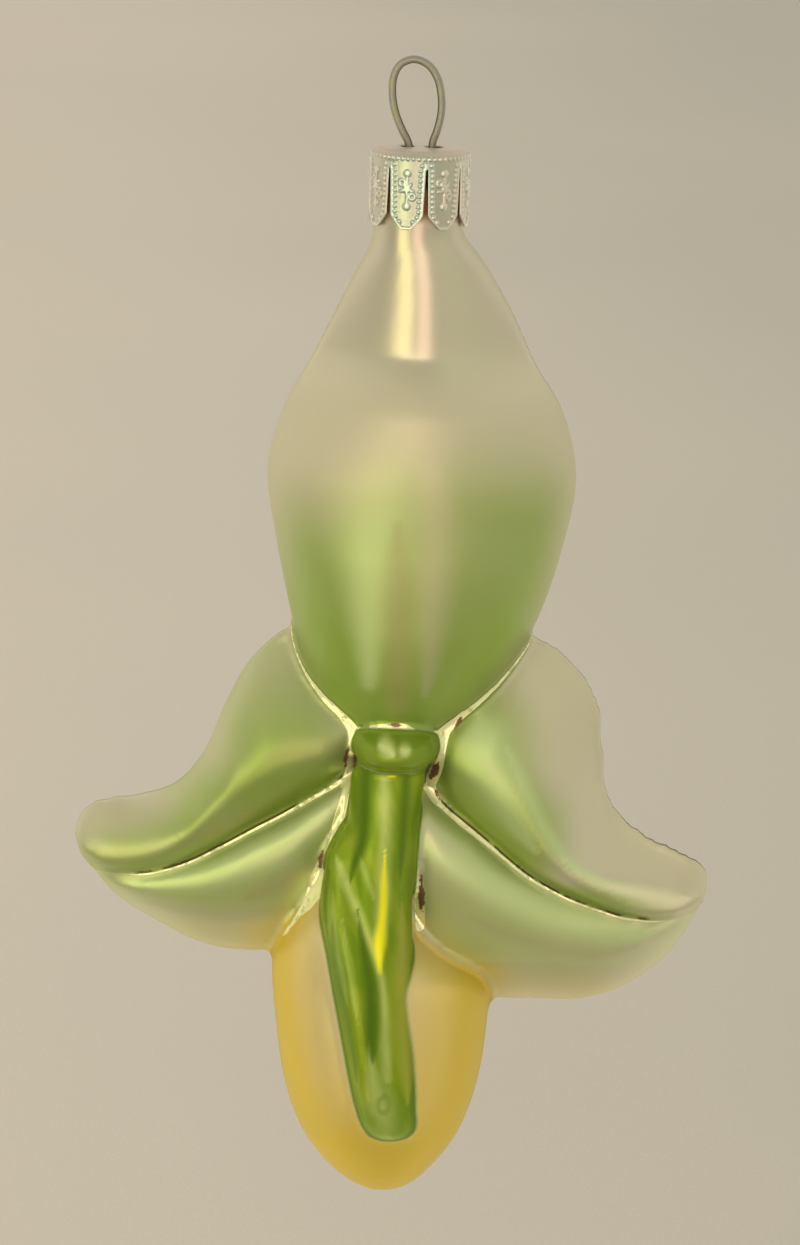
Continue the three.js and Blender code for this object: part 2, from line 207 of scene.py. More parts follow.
def blow_lobe(name, stations, middle=0, crest=0.5, roof=0, ridge=0.05, inset=0, around=112, along=96):
    """A puffed lobe between two edges in the plane y = middle. Its crest lies the share crest of the way
    across. Where roof is 1 its sides run straight to a crest as round as ridge says, and where it is 0
    its section is an ellipse."""
    ROUND_EDGE = 0.22

    def by_station(values):
        return np.interp(share, np.linspace(0, 1, np.size(values)), np.atleast_1d(values))

    edge_a = np.array([s[0:2] for s in stations], float)
    edge_b = np.array([s[2:4] for s in stations], float)
    across = edge_b - edge_a
    width = np.linalg.norm(across, axis=1, keepdims=True)
    across = across / np.maximum(width, 1e-9) * np.minimum(inset, width / 3)
    edge_a, edge_b = edge_a + across, edge_b - across
    swell = np.maximum(np.array([s[4:6] for s in stations], float) - inset, 0)
    if inset:
        for end, beside in ((0, 1), (-1, -2)):
            pull = (edge_a[beside] + edge_b[beside]) / 2 - edge_a[end]
            length = np.linalg.norm(pull)
            pull *= min(inset, length / 2) / length
            edge_a[end] += pull
            edge_b[end] += pull
    bpy.ops.mesh.primitive_uv_sphere_add(segments=around, ring_count=along, radius=1)
    lobe = bpy.context.object
    lobe.name = name
    ball = np.array([v.co for v in lobe.data.vertices])
    share = np.arccos(np.clip(ball[:, 2], -1, 1)) / math.pi
    turn = np.arctan2(ball[:, 1], ball[:, 0])
    a, b, puff = flow(edge_a, share), flow(edge_b, share), flow(swell, share)
    lean = np.log(by_station(crest)) / math.log(0.5) - 1
    from_edge = np.clip(np.abs(np.sin(turn)) / ROUND_EDGE, 0, 1)
    side = (((1 - np.cos(turn)) / 2) ** (1 + lean * from_edge**2 * (3 - 2 * from_edge)))[:, None]
    flat = a + (b - a) * side
    tent = math.sqrt(1 + ridge) - np.sqrt(np.cos(turn) ** 2 + ridge)
    tent = tent / (math.sqrt(1 + ridge) - math.sqrt(ridge))
    roof = by_station(roof)
    height = ((1 - roof) * np.abs(np.sin(turn)) + roof * tent) * np.sign(np.sin(turn))
    depth = middle - height * np.maximum(np.where(height > 0, puff[:, 0], puff[:, 1]), 0)
    shaped = np.column_stack([flat[:, 0], depth, flat[:, 1]]) * MM
    lobe.data.vertices.foreach_set("co", shaped.ravel())
    lobe.data.update()
    return lobe


def round_boss(name, x, y, z, width, depth, height, square=2):
    """A round boss. Seen from the front it is an ellipse, or squarer where square is above 2."""
    bpy.ops.mesh.primitive_uv_sphere_add(segments=48, ring_count=32, radius=MM)
    boss = bpy.context.object
    boss.name = name
    for v in boss.data.vertices:
        reach = math.hypot(v.co.x, v.co.z)
        if reach > 0:
            squared = (abs(v.co.x) ** square + abs(v.co.z) ** square) ** (1 / square)
            v.co.x *= reach / squared
            v.co.z *= reach / squared
    boss.scale = (width / 2, depth, height / 2)
    boss.location = (x * MM, y * MM, z * MM)
    bpy.ops.object.transform_apply(location=True, rotation=False, scale=True)
    return boss


def neck(name, inset, top):
    """The straight neck that the cap sits on, flared at its foot into the sepal."""
    bpy.ops.mesh.primitive_cylinder_add(vertices=96, radius=(NECK_RADIUS - inset) * MM, depth=MM)
    tube = bpy.context.object
    tube.name = name
    rings = {0.5: (top, NECK_RADIUS), -0.5: (NECK_FOOT_Z, NECK_FLARE_RADIUS)}
    for v in tube.data.vertices:
        z, radius = rings[round(v.co.z / MM, 1)]
        v.co.xy *= (radius - inset) / (NECK_RADIUS - inset)
        v.co.z = z * MM
        v.co.x += AXIS_X * MM
    return tube


MOUTH = {
    "x": -1.2, "y": 10.8, "z": -89.8, "tilt": 43,
    "radius": 4.3, "stretch": 1.4, "roll": 1.4, "depth": 3.6,
}


def at_mouth(piece):
    """Turns and moves a piece made at the origin to the pouch's mouth, which looks up and outwards."""
    bpy.ops.object.transform_apply(location=True, rotation=True, scale=True)
    turn = Matrix.Rotation(math.radians(-MOUTH["tilt"]), 4, "X")
    piece.data.transform(Matrix.Translation(Vector((MOUTH["x"], MOUTH["y"], MOUTH["z"])) * MM) @ turn)
    return piece


def mouth_rim():
    """The rolled rim round the pouch's mouth, on the far side."""
    bpy.ops.mesh.primitive_torus_add(
        major_radius=MOUTH["radius"] * MM,
        minor_radius=MOUTH["roll"] * MM,
        major_segments=72,
        minor_segments=20,
    )
    bpy.context.object.name = "mouth_rim"
    bpy.context.object.scale.x = MOUTH["stretch"]
    return at_mouth(bpy.context.object)


def mouth_hollow(grow):
    """The hollow inside the mouth, grown by the glass wall where it is cut from the bore."""
    bpy.ops.mesh.primitive_uv_sphere_add(segments=64, ring_count=40, radius=MM)
    radius = MOUTH["radius"] - MOUTH["roll"] / 2 + grow
    bpy.context.object.scale = (MOUTH["stretch"] * radius, radius, MOUTH["depth"] + grow)
    bpy.context.object.location.z = MOUTH["roll"] / 2 * MM
    return at_mouth(bpy.context.object)


def pick(*pieces):
    """Selects the pieces and nothing else."""
    bpy.ops.object.select_all(action="DESELECT")
    for piece in pieces:
        piece.select_set(True)
    bpy.context.view_layer.objects.active = pieces[0]


def join(name, pieces):
    pick(*pieces)
    bpy.ops.object.join()
    pieces[0].name = name
    return pieces[0]


def finish_with(piece, kind, **settings):
    """Adds a modifier and applies it."""
    pick(piece)
    modifier = piece.modifiers.new(kind.lower(), kind)
    for key, value in settings.items():
        setattr(modifier, key, value)
    bpy.ops.object.modifier_apply(modifier=modifier.name)


def cut(piece, tool):
    """Cuts the tool's shape out of the piece."""
    finish_with(piece, "BOOLEAN", operation="DIFFERENCE", solver="MANIFOLD", object=tool)
    bpy.data.objects.remove(tool)


def petal_lobes(inset=0, **counts):
    """The four petal lobes: left upper, left lower, right upper and right lower."""
    upper = {"roof": 0.55, "ridge": 0.08, "inset": inset, **counts}
    lower = {"crest": LOWER_CREST, "roof": 0.35, "ridge": 0.08, "inset": inset, **counts}
    return [
        blow_lobe("left_upper", LEFT_UPPER, crest=LEFT_UPPER_CREST, **upper),
        blow_lobe("left_lower", LEFT_LOWER, **lower),
        blow_lobe("right_upper", RIGHT_UPPER, crest=RIGHT_UPPER_CREST, **upper),
        blow_lobe("right_lower", RIGHT_LOWER, **lower),
    ]


VOXEL = 0.6
BORE_VOXEL = 1.5
SEPAL_ROOF = (0, 0, 0.2, 0.7, 1, 0.9, 0.6, 0.15, 0, 0, 0, 0, 0, 0)
UPPER = ("left_upper", "right_upper")
LOWER = ("left_lower", "right_lower")
PARTS = {
    "sepal": ("neck", "sepal"),
    "pouch": ("pouch", "slipper", "mouth_rim"),
    "stalk": ("stalk", "stalk_fold"),
}
sepal = [
    neck("neck", 0, NECK_TOP_Z),
    blow_lobe("sepal", SEPAL, roof=SEPAL_ROOF, ridge=0.5, around=128, along=96),
]
petals = petal_lobes()
pouch = [
    blow_lobe("pouch", POUCH, around=96, along=72),
    blow_lobe("slipper", SLIPPER, middle=SLIPPER_MIDDLE, around=96, along=72),
    mouth_rim(),
]
stalk = [
    blow_lobe("stalk", STALK, middle=STALK_MIDDLE),
    blow_lobe("stalk_fold", STALK_FOLD, middle=STALK_MIDDLE),
]
cushion = round_boss("cushion", x=0.2, y=-7.5, z=-80.4, width=9.7, depth=6, height=4.5, square=3)
column = round_boss("column", x=-0.2, y=7, z=-81, width=8.6, depth=5.6, height=8.6)


def surface_of(piece):
    """The piece's surface in mm, to measure distances to."""
    corners = [v.co / MM for v in piece.data.vertices]
    return BVHTree.FromPolygons(corners, [list(p.vertices) for p in piece.data.polygons])


blown = [*sepal, *petals, *pouch, *stalk, cushion, column]
surfaces = {piece.name: surface_of(piece) for piece in blown}
outside = join("outside", blown)
finish_with(outside, "REMESH", mode="VOXEL", voxel_size=VOXEL * MM)
cut(outside, mouth_hollow(0))
finish_with(outside, "REMESH", mode="VOXEL", voxel_size=VOXEL * MM)
finish_with(outside, "SMOOTH", factor=0.5, iterations=5)

bore = join("bore", [
    neck("neck_bore", GLASS_WALL, BORE_TOP_Z),
    blow_lobe("sepal_inside", SEPAL, roof=SEPAL_ROOF, ridge=0.5, inset=GLASS_WALL, around=48, along=36),
    *petal_lobes(GLASS_WALL, around=32, along=28),
    blow_lobe("pouch_inside", POUCH, inset=GLASS_WALL, around=40, along=32),
    blow_lobe("slipper_inside", SLIPPER, inset=GLASS_WALL, middle=SLIPPER_MIDDLE, around=40, along=32),
])
finish_with(bore, "REMESH", mode="VOXEL", voxel_size=BORE_VOXEL * MM)
cut(bore, mouth_hollow(GLASS_WALL))


def places(piece):
    """The piece's points in mm."""
    return np.array([v.co for v in piece.data.vertices]) / MM


def settle(piece):
    """Lays the points that are clear of the seams and of the mouth exactly on the lobes' own surfaces."""
    ON_ONE_LOBE, NEAR, MOUTH_REACH = (0.6, 1.5), 0.6, (7.5, 9)
    points = places(piece)
    spot = points.copy()
    first, second = np.full((2, len(points)), np.inf)
    for surface in surfaces.values():
        found = [surface.find_nearest(p) for p in points]
        place = np.array([f[0] for f in found])
        gap = np.array([f[3] for f in found])
        closer = gap < first
        second = np.where(closer, first, np.minimum(second, gap))
        first = np.minimum(first, gap)
        spot[closer] = place[closer]
    from_mouth = np.linalg.norm(points - (MOUTH["x"], MOUTH["y"], MOUTH["z"]), axis=1)
    clear = ease(*ON_ONE_LOBE, second - first) * (first < NEAR) * ease(*MOUTH_REACH, from_mouth)
    points += (spot - points) * clear[:, None]
    piece.data.vertices.foreach_set("co", (points * MM).ravel())
    piece.data.update()


def distances(points):
    """From each point to each part of the flower, in mm."""
    away = {name: np.array([tree.find_nearest(p)[3] for p in points]) for name, tree in surfaces.items()}
    for part, pieces in PARTS.items():
        away[part] = np.min([away.pop(name) for name in pieces], axis=0)
    return away


def nearest_of(away, names):
    """From each point to the nearest of the named parts."""
    return np.min([away[name] for name in names], axis=0)


def from_seam(away):
    """How far each point is from the nearest line where two parts of the flower meet."""
    first, second = np.sort(np.array(list(away.values())), axis=0)[:2]
    return second - first


def ease(low, high, values):
    """0 below low, 1 above high, and a soft step between them."""
    part = np.clip((values - low) / (high - low), 0, 1)
    return part * part * (3 - 2 * part)


# The creases and the rim are sharper than the rest, so their faces are cut smaller.
CREASE_REACH, PART_REACH, RIM_REACH = 1.1, 0.4, 1
away = distances(places(outside))
fine = (from_seam(away) < CREASE_REACH) | (nearest_of(away, ("stalk", "cushion")) < PART_REACH)
on_petals = nearest_of(away, UPPER + LOWER) < PART_REACH
fine |= on_petals & (np.abs(places(outside)[:, 1]) < RIM_REACH)
pick(outside)
bpy.ops.object.mode_set(mode="EDIT")
bpy.ops.mesh.select_mode(type="FACE")
bpy.ops.mesh.select_all(action="DESELECT")
bpy.ops.object.mode_set(mode="OBJECT")
for face in outside.data.polygons:
    face.select = any(fine[i] for i in face.vertices)
bpy.ops.object.mode_set(mode="EDIT")
bpy.ops.mesh.subdivide(number_cuts=1, smoothness=0.8)
bpy.ops.object.mode_set(mode="OBJECT")
settle(outside)
rim_group = outside.vertex_groups.new(name="rim")
for i, share in enumerate(ease(1.3, 0.5, np.abs(places(outside)[:, 1]))):
    if share > 0:
        rim_group.add([i], float(share), "REPLACE")
finish_with(outside, "SMOOTH", factor=0.5, iterations=14, vertex_group="rim")


def write_mask(piece, name, values, top=1):
    """Stores one number at every point of the piece, for its finish to read."""
    mask = piece.data.attributes.new(name, "FLOAT", "POINT")
    mask.data.foreach_set("value", np.clip(values, 0, top).astype(np.float32))


points = places(outside)
x, z = points[:, 0], points[:, 2]
on_front = points[:, 1] < 0
from_edge = np.abs(points[:, 1])
away = distances(points)
seam = from_seam(away)


def belongs(*names):
    """1 on the named parts, 0 on the others."""
    others = nearest_of(away, [other for other in away if other not in names])
    return ease(-0.25, 0.25, others - nearest_of(away, names))


def spray(*puffs):
    """Where the airbrush went: each puff is x, z, half width, half height, strength."""
    bare = np.ones(len(points))
    for at_x, at_z, wide, high, strength in puffs:
        bare *= 1 - strength * ease(1.15, 0.35, np.hypot((x - at_x) / wide, (z - at_z) / high))
    return 1 - bare


def trace(stations, steps):
    """A smooth line through the stations, and each point's distance from each place on it."""
    line = flow(stations, np.linspace(0, 1, steps * len(stations)))
    return line, np.hypot(x[:, None] - line[:, 0], z[:, None] - line[:, 1])


def bare_width(*stations):
    """Half the width of the bare silver line by a crease that runs through the stations x, z, width."""
    REACH = 1.6
    line, gap = trace(stations, 12)
    return line[gap.argmin(axis=1), 2] * ease(REACH + 1, REACH, gap.min(axis=1))


def brush(*stations):
    """A soft brush stroke on the front, through the stations x, z, half width."""
    THINNEST, SOFT = 0.02, 1.7
    line, gap = trace(stations, 14)
    share = (gap / np.maximum(line[:, 2], THINNEST)).min(axis=1)
    return ease(SOFT, 0, share) * on_front


def strokes(*lines):
    """The strongest of some brush strokes: each line is its strength and then its stations."""
    return np.max([strength * brush(*stations) for strength, *stations in lines], axis=0)


def inside_lines(*lines):
    """How far inside the nearest of some crisp lines on the front each point is, in mm."""
    OUTSIDE = -9
    depths = []
    for stations in lines:
        line, gap = trace(stations, 14)
        depths.append(np.where(on_front, (line[:, 2] - gap).max(axis=1), OUTSIDE))
    return np.max(depths, axis=0)


on_stalk = belongs("stalk")
on_cushion = belongs("cushion")
on_pouch = belongs("pouch")
on_sepal = belongs("sepal")
on_upper = belongs(*UPPER)
on_lower = belongs(*LOWER)
near_cushion = ease(0.9, 0.3, away["cushion"])
by_edge = ease(5.5, 1.5, from_edge)
to_left = ease(2, -6, x)

# Where the silver is bare, by the sepal's creases, by the petals' and in the drawn lines, and where dark
# reflections are painted on it.
seam_line = (1 - near_cushion) * (np.abs(x - 0.5) > 4.2) * np.maximum(
    bare_width((-12.8, -66, 0.1), (-12, -70.9, 0.17), (-9.3, -74.4, 0.36), (-7.8, -75.9, 0.5),
               (-5.9, -77.5, 0.56), (-4.9, -78.5, 0.45)),
    bare_width((16.4, -67, 0.14), (12.4, -71.7, 0.28), (9.2, -75.5, 0.42), (7.5, -77, 0.55),
               (6.2, -78.4, 0.55)),
)
mid_line = (1 - near_cushion) * np.maximum(
    bare_width((-5.9, -85.6, 0.9), (-8.6, -87.7, 0.68), (-15.6, -92.6, 0.54), (-20, -95.3, 0.46),
               (-26.1, -98.5, 0.38), (-30, -100, 0.32), (-31.8, -100.4, 0)),
    bare_width((5, -87.2, 1.2), (6.5, -88.7, 1.4), (10.4, -92.4, 0.85), (13.9, -95.2, 0.58),
               (23.1, -100.4, 0.42), (31.7, -102.8, 0.3), (33.5, -103, 0)),
)
below_crease = nearest_of(away, UPPER) - nearest_of(away, LOWER)
drawn = inside_lines(
    [(-7.2, -76.3, 0.3), (-5.9, -77.5, 0.42), (-5.1, -78.8, 0.4), (-5.05, -80.7, 0.36), (-5.1, -83.3, 0.36),
     (-5.3, -84.7, 0.42), (-6, -86, 0.3)],
    [(8.2, -76.4, 0.35), (6.9, -77.7, 0.45), (6.2, -78.8, 0.42), (5.9, -80.5, 0.4), (5.5, -82.6, 0.5),
     (4.9, -84.3, 0.75), (4.6, -85.8, 0.6), (5.1, -87.2, 0.5), (6, -88.3, 0.2)],
    [(-3, -77.8, 0.1), (-1.9, -77.7, 0.35), (-0.5, -77.6, 0.45), (1, -77.6, 0.5), (2.3, -77.8, 0.15)],
    [(-5.4, -85.6, 0.35), (-5.9, -88.1, 0.5), (-6.4, -90.7, 0.6), (-7, -93.4, 0.6), (-7.9, -95.6, 0.75),
     (-8.5, -97.9, 1), (-9.4, -100.2, 0.65), (-10.8, -102.6, 0.25), (-12.6, -105.6, 0.1)],
    [(2.8, -88.6, 0.1), (3, -93.1, 0.32), (3.2, -96.1, 0.4), (3.5, -98.5, 0.52), (3.75, -100.6, 0.6),
     (3.9, -102.6, 0.6), (3.95, -103.6, 0.5)],
)
# The places where dark reflections are painted on the bare silver.
reflection_marks = inside_lines(
    [(-5.4, -80.6, 0.05), (-5.65, -82, 0.3), (-5.7, -83.6, 0.15)],
    [(5.4, -82.5, 0.15), (5.1, -83.6, 0.45), (4.6, -84.9, 0.25)],
    [(7.9, -76.7, 0.12), (7.5, -77.5, 0.26), (7.2, -78.2, 0.12)],
    [(5.3, -86.5, 0.18), (5.6, -87.4, 0.22)],
    [(-0.9, -77.3, 0.05), (0.1, -77.25, 0.26), (1.2, -77.35, 0.05)],
    [(-8, -93.9, 0.2), (-8.15, -95, 0.4), (-8.35, -96.2, 0.2)],
    [(3.85, -96.2, 0.15), (3.9, -98, 0.26), (3.95, -99.5, 0.4), (4.05, -101.2, 0.2)],
)

# The sprayed colours, and the painted highlights and shade laid over them. On the sepal the green begins lower
# on the left and thins out towards the edge.
green_from = np.interp(x, (-13.2, -7.3, -0.4, 7.7, 15.9), (-49.4, -48.3, -45.3, -43.7, -44.4))
green = on_sepal * (0.75 * ease(green_from + 5, green_from - 9, z) + 0.25 * ease(-50, -74, z))
green *= 1 - ease(9.5, 2, from_edge) * (0.9 - 0.6 * ease(-50, -66, z) * (0.6 + 0.4 * to_left))
# Two bands down the sepal hold less green, so that they show lighter: painted highlights.
green *= 1 - strokes(
    (0.4, (3.4, -45, 1.2), (3.9, -51.2, 2.6), (4.2, -58.4, 2.4), (4, -65.9, 1.6), (3.5, -73, 0.5)),
)
green *= 1 - strokes(
    (0.15, (-2.4, -38, 2), (-3.3, -45.7, 2.6), (-3.8, -54, 2.4), (-3.9, -63.9, 1.6), (-2.8, -72, 0.6)),
)
petal_green = spray(
    (-12, -84, 10, 9, 0.8), (-20, -90, 10, 8, 0.8), (-28, -96, 12, 6, 0.7), (-14, -76, 10, 12, 0.6),
    (9, -82, 9.5, 13, 0.85), (14, -91, 8.5, 9, 0.85), (22, -99.8, 12, 3.8, 0.85),
    (-10, -97, 10, 9, 0.7), (-22, -99, 13, 5, 0.8), (-33, -97, 7, 4, 0.5),
    (11, -101, 10, 9, 0.8), (22, -105, 10, 6, 0.6), (32, -102.5, 7, 2.5, 0.5), (21, -111, 12, 5, 0.35),
)
green = np.maximum(green, (1 - on_sepal) * petal_green * (1 - by_edge * (0.75 - 0.4 * to_left)))
# Painted highlights in light green: a band down the left of the sepal, the right upper petal's ridge and a patch
# beside it, bands under the lower petals' creases, and a faint lighter wash over most of the lower petals.
green_highlight = np.max([
    on_sepal * ease(green_from + 3, green_from - 7, z) * strokes(
        (0.6, (-2.4, -38, 1), (-3, -45, 4), (-3.4, -52, 4.2), (-3.6, -60, 3), (-3.2, -72, 1)),
    ),
    on_upper * strokes(
        (0.7, (13.5, -80, 0.5), (15.3, -84, 1), (18.5, -90.2, 0.9), (21.6, -94.3, 0.8), (26, -97.2, 0.4)),
        (0.75, (9.8, -76.4, 0.6), (10.9, -79.5, 2.8), (11.9, -83.5, 3), (14.2, -88.3, 1.8), (17.4, -92.6, 0.5)),
    ),
    on_lower * strokes(
        (0.7, (-32, -99.8, 0.4), (-27, -99.6, 1.5), (-19.2, -97.2, 2.1), (-13, -93.8, 2.4), (-8, -90, 1.8)),
        (1, (3.6, -91, 0.5), (4.8, -92.9, 1.4), (10.9, -97.3, 2.2), (18.2, -101.5, 2), (24.3, -103.3, 1.8),
         (30, -104.1, 1.2), (33, -103.4, 0.2)),
    ),
    0.25 * on_lower * (z > -108),
], axis=0)
# Painted shade in dark green on the upper petals' slopes down into their creases.
deep = 0.75 * on_upper * strokes(
    (1, (-6.6, -84.4, 0.4), (-9, -86, 1.4), (-13.5, -89.2, 1.4), (-19, -93.2, 0.9), (-26, -97.2, 0.5)),
    (0.85, (14.5, -70.2, 0.2), (12, -73, 0.7), (9.4, -75.6, 0.8), (7.6, -78, 0.8), (6.2, -82.6, 0.8),
     (6.8, -86.6, 0.7), (10.8, -91, 0.6), (15, -94.4, 0.7), (23.1, -99.3, 0.7), (31, -101.8, 0.4)),
)
# Painted shade and dull reflection: a darker band down the middle of the sepal between its highlights, dull
# patches on the upper petals' inner slopes and darker troughs across the lower petals.
dull_shade = 0.5 * np.max([
    on_sepal * strokes((0.75, (-0.4, -52, 0.5), (-0.3, -58, 1.6), (-0.1, -65, 1.8), (0.3, -75, 1.4))),
    on_upper * strokes(
        (0.5, (-15.5, -82, 0.4), (-12, -80.8, 1.6), (-9.4, -80.6, 1.8), (-6.5, -80.6, 1)),
        (0.7, (-25, -94, 0.4), (-19, -91, 1.2), (-13.5, -88, 1.2), (-10, -85.6, 0.5)),
    ),
    on_lower * strokes(
        (0.7, (-17, -100.5, 0.6), (-12.5, -98.2, 1.6), (-9.5, -96.5, 0.8)),
        (0.3, (-29, -102.2, 0.3), (-24, -103, 0.8), (-20, -103.2, 1), (-14, -102.4, 0.9), (-10.6, -100.9, 0.4)),
        (0.4, (10, -101.5, 0.4), (13.5, -103.4, 0.9), (19, -105.4, 1), (25.6, -106.5, 0.9), (30.4, -105.4, 0.4)),
    ),
], axis=0)
# A painted shade line in the crease where the right lower petal meets the pouch.
pouch_border = (away["pouch"] < 1.2) * (away["stalk"] > 1.2) * (x > 3) * (z < -103)
dull_shade = np.maximum(dull_shade, 0.3 * ease(0.8, 0.2, seam) * pouch_border)
amber = on_pouch * (1 - 0.8 * spray((-2.5, -104, 9.5, 24, 1)) * ease(3, 10, from_edge))
amber = np.maximum(amber, on_lower * spray(
    (-12.5, -106, 6.5, 5.5, 0.7), (9, -109.5, 8, 6, 0.75), (-22, -107, 9, 5, 0.25), (20, -112.5, 11, 5, 0.25),
))
deep_amber = 0.7 * on_pouch * ease(4.5, 0.5, from_edge)
# Painted highlights down the pouch, one on each side of the stalk.
pouch_highlight = on_pouch * np.maximum(
    0.5 * spray((4.9, -110, 4.6, 13, 1), (4.7, -119, 4.2, 11, 0.8)),
    0.35 * spray((-8, -108, 4, 13, 1), (-6, -120, 4, 10, 0.8)),
)
# Painted highlights in cream along the right upper petal's ridge, on the left upper petal's tip and on the right
# lower petal's lip, and a faint lighter wash over the lower petals away from the amber.
cream_highlight = np.max([
    on_upper * strokes(
        (0.85, (19.5, -92.4, 0.1), (22.4, -95.3, 0.45), (26.5, -97.4, 0.6), (31.5, -98.9, 0.8),
         (34.6, -99.5, 0.7), (36.2, -99.4, 0.2)),
        (0.2, (-36, -94.6, 0.3), (-33, -95.8, 1), (-29, -95.2, 0.8), (-25, -92.6, 0.2)),
    ),
    on_lower * strokes(
        (1, (27.5, -104.3, 0.1), (31, -103.9, 0.5), (33.8, -102.6, 0.7), (35.6, -101, 0.6), (36.4, -100, 0.2)),
    ),
    on_lower * np.where(x > 0, 0.24, 0.1) * (1 - amber),
], axis=0)
glints = strokes(
    (0.8, (-1.7, -79, 0.2), (-1, -79.1, 0.7), (-0.4, -79.4, 0.6), (0.1, -79.9, 0.1)),
    (0.7, (0.8, -79.2, 0.1), (1.3, -79.4, 0.6), (1.9, -79.3, 0.2)),
)

# The streaks along the stalk: painted highlights, painted shade in its folds and along its edges, a golden
# stripe and a yellow painted highlight, with a soft closed oval near its lower end.
pale = strokes(
    (0.8, (-1, -82.8, 0.5), (-0.8, -86.6, 0.9), (-0.6, -90.2, 0.8), (-0.6, -97, 0.8), (-0.8, -102, 0.7),
     (-0.8, -106, 0.1)),
    (0.75, (-6.4, -93, 0.1), (-5.9, -94.1, 0.5), (-4.6, -97.1, 0.55), (-3.2, -99.9, 0.6), (-1.9, -103.2, 0.5),
     (-1, -105.9, 0.5), (-0.3, -108.8, 0.5), (0, -112.6, 0.6), (0.2, -116.4, 0.7), (0.5, -120.3, 0.6)),
    (0.5, (-4, -91.6, 0.05), (-3, -94, 0.4), (-2.2, -96.1, 0.35), (-1.6, -98, 0.05)),
    (0.5, (-6.6, -97, 0.1), (-6.2, -102, 0.5), (-5, -108, 0.4), (-4.4, -111, 0.05)),
    (0.4, (-5.4, -100, 0.1), (-4.8, -104, 0.35), (-3.6, -110, 0.3), (-3, -113, 0.05)),
    (0.7, (-1.8, -115, 0.05), (-1.2, -119, 0.7), (0.1, -124, 1.7), (0.9, -128, 1.4)),
)
oval = np.abs(np.hypot((x - 0.3) / 0.8, (z + 123.5) / 1.3) - 0.85)
# Painted shade: dark bands down the stalk's folds and a darker rim along its edges, and a soft closed oval mark
# near its lower end.
dark = np.max([
    strokes(
        (1, (-3.2, -82.6, 1.1), (-3.2, -87, 1.1), (-3.3, -90.6, 0.8), (-4.4, -94.3, 0.4), (-4.6, -96, 0.05)),
        (0.8, (1.6, -82.6, 0.6), (1.5, -86.8, 0.7), (1.4, -91.6, 0.5), (1.3, -95, 0.1)),
        (1, (-3.6, -99, 0.1), (-2.8, -103.4, 0.5), (-1.8, -108.2, 0.8), (-1.5, -112, 0.9), (-1.4, -115, 0.8),
         (-1.2, -118, 0.1)),
        (0.6, (-6.6, -100, 0.1), (-6.2, -105, 0.5), (-4.6, -112, 0.6), (-3.4, -118, 0.3), (-3, -121, 0.05)),
        (0.7, (-7.2, -95, 0.3), (-7.5, -99, 0.3), (-6.9, -104, 0.1)),
        (1, (-3.2, -82.7, 0.1), (-2.9, -82.7, 0.3), (-2.6, -82.7, 0.1)),
    ),
    0.8 * ease(0.9, 0.2, seam),
    0.4 * ease(0.5, 0.1, oval) * on_front,
], axis=0)
golden = strokes(
    (1, (1.6, -98, 0.1), (1.9, -104, 0.8), (2, -110.3, 1), (2.4, -115.3, 1), (2.9, -120, 0.7), (3.2, -124, 0.1)),
)
# Painted highlights in bright yellow: a streak down the stalk and a spot under the cushion.
streak = strokes(
    (1, (-0.6, -91.5, 0.05), (-0.6, -94.8, 0.34), (-0.55, -98, 0.45), (-0.65, -100.4, 0.5),
     (-0.85, -102.8, 0.7), (-0.9, -104, 0.6), (-0.7, -107, 0.1)),
    (0.7, (-0.8, -82.7, 0.05), (-0.1, -82.8, 0.16), (0.7, -82.7, 0.05)),
)
masks = {
    "green": green * (1 - on_pouch), "green_highlight": green_highlight, "deep": deep, "dull_shade": dull_shade,
    "amber": amber, "deep_amber": deep_amber, "pouch_highlight": pouch_highlight, "cream_highlight": cream_highlight, "glints": glints,
    "pale": pale * on_stalk, "dark": dark * on_stalk, "golden": golden * on_stalk,
    "streak": streak * on_stalk, "stalk": on_stalk, "cushion": on_cushion,
    "seam_line": seam_line, "mid_line": mid_line,
}
for name, values in masks.items():
    write_mask(outside, name, values)
write_mask(outside, "seam", seam, top=3)
for name, values in {"below_crease": below_crease, "drawn": drawn, "reflection_marks": reflection_marks}.items():
    write_mask(outside, name, values + 1, top=3)

cut(outside, bore)
body = outside
body.name = "glass_body_skin"
for face in body.data.polygons:
    face.use_smooth = True


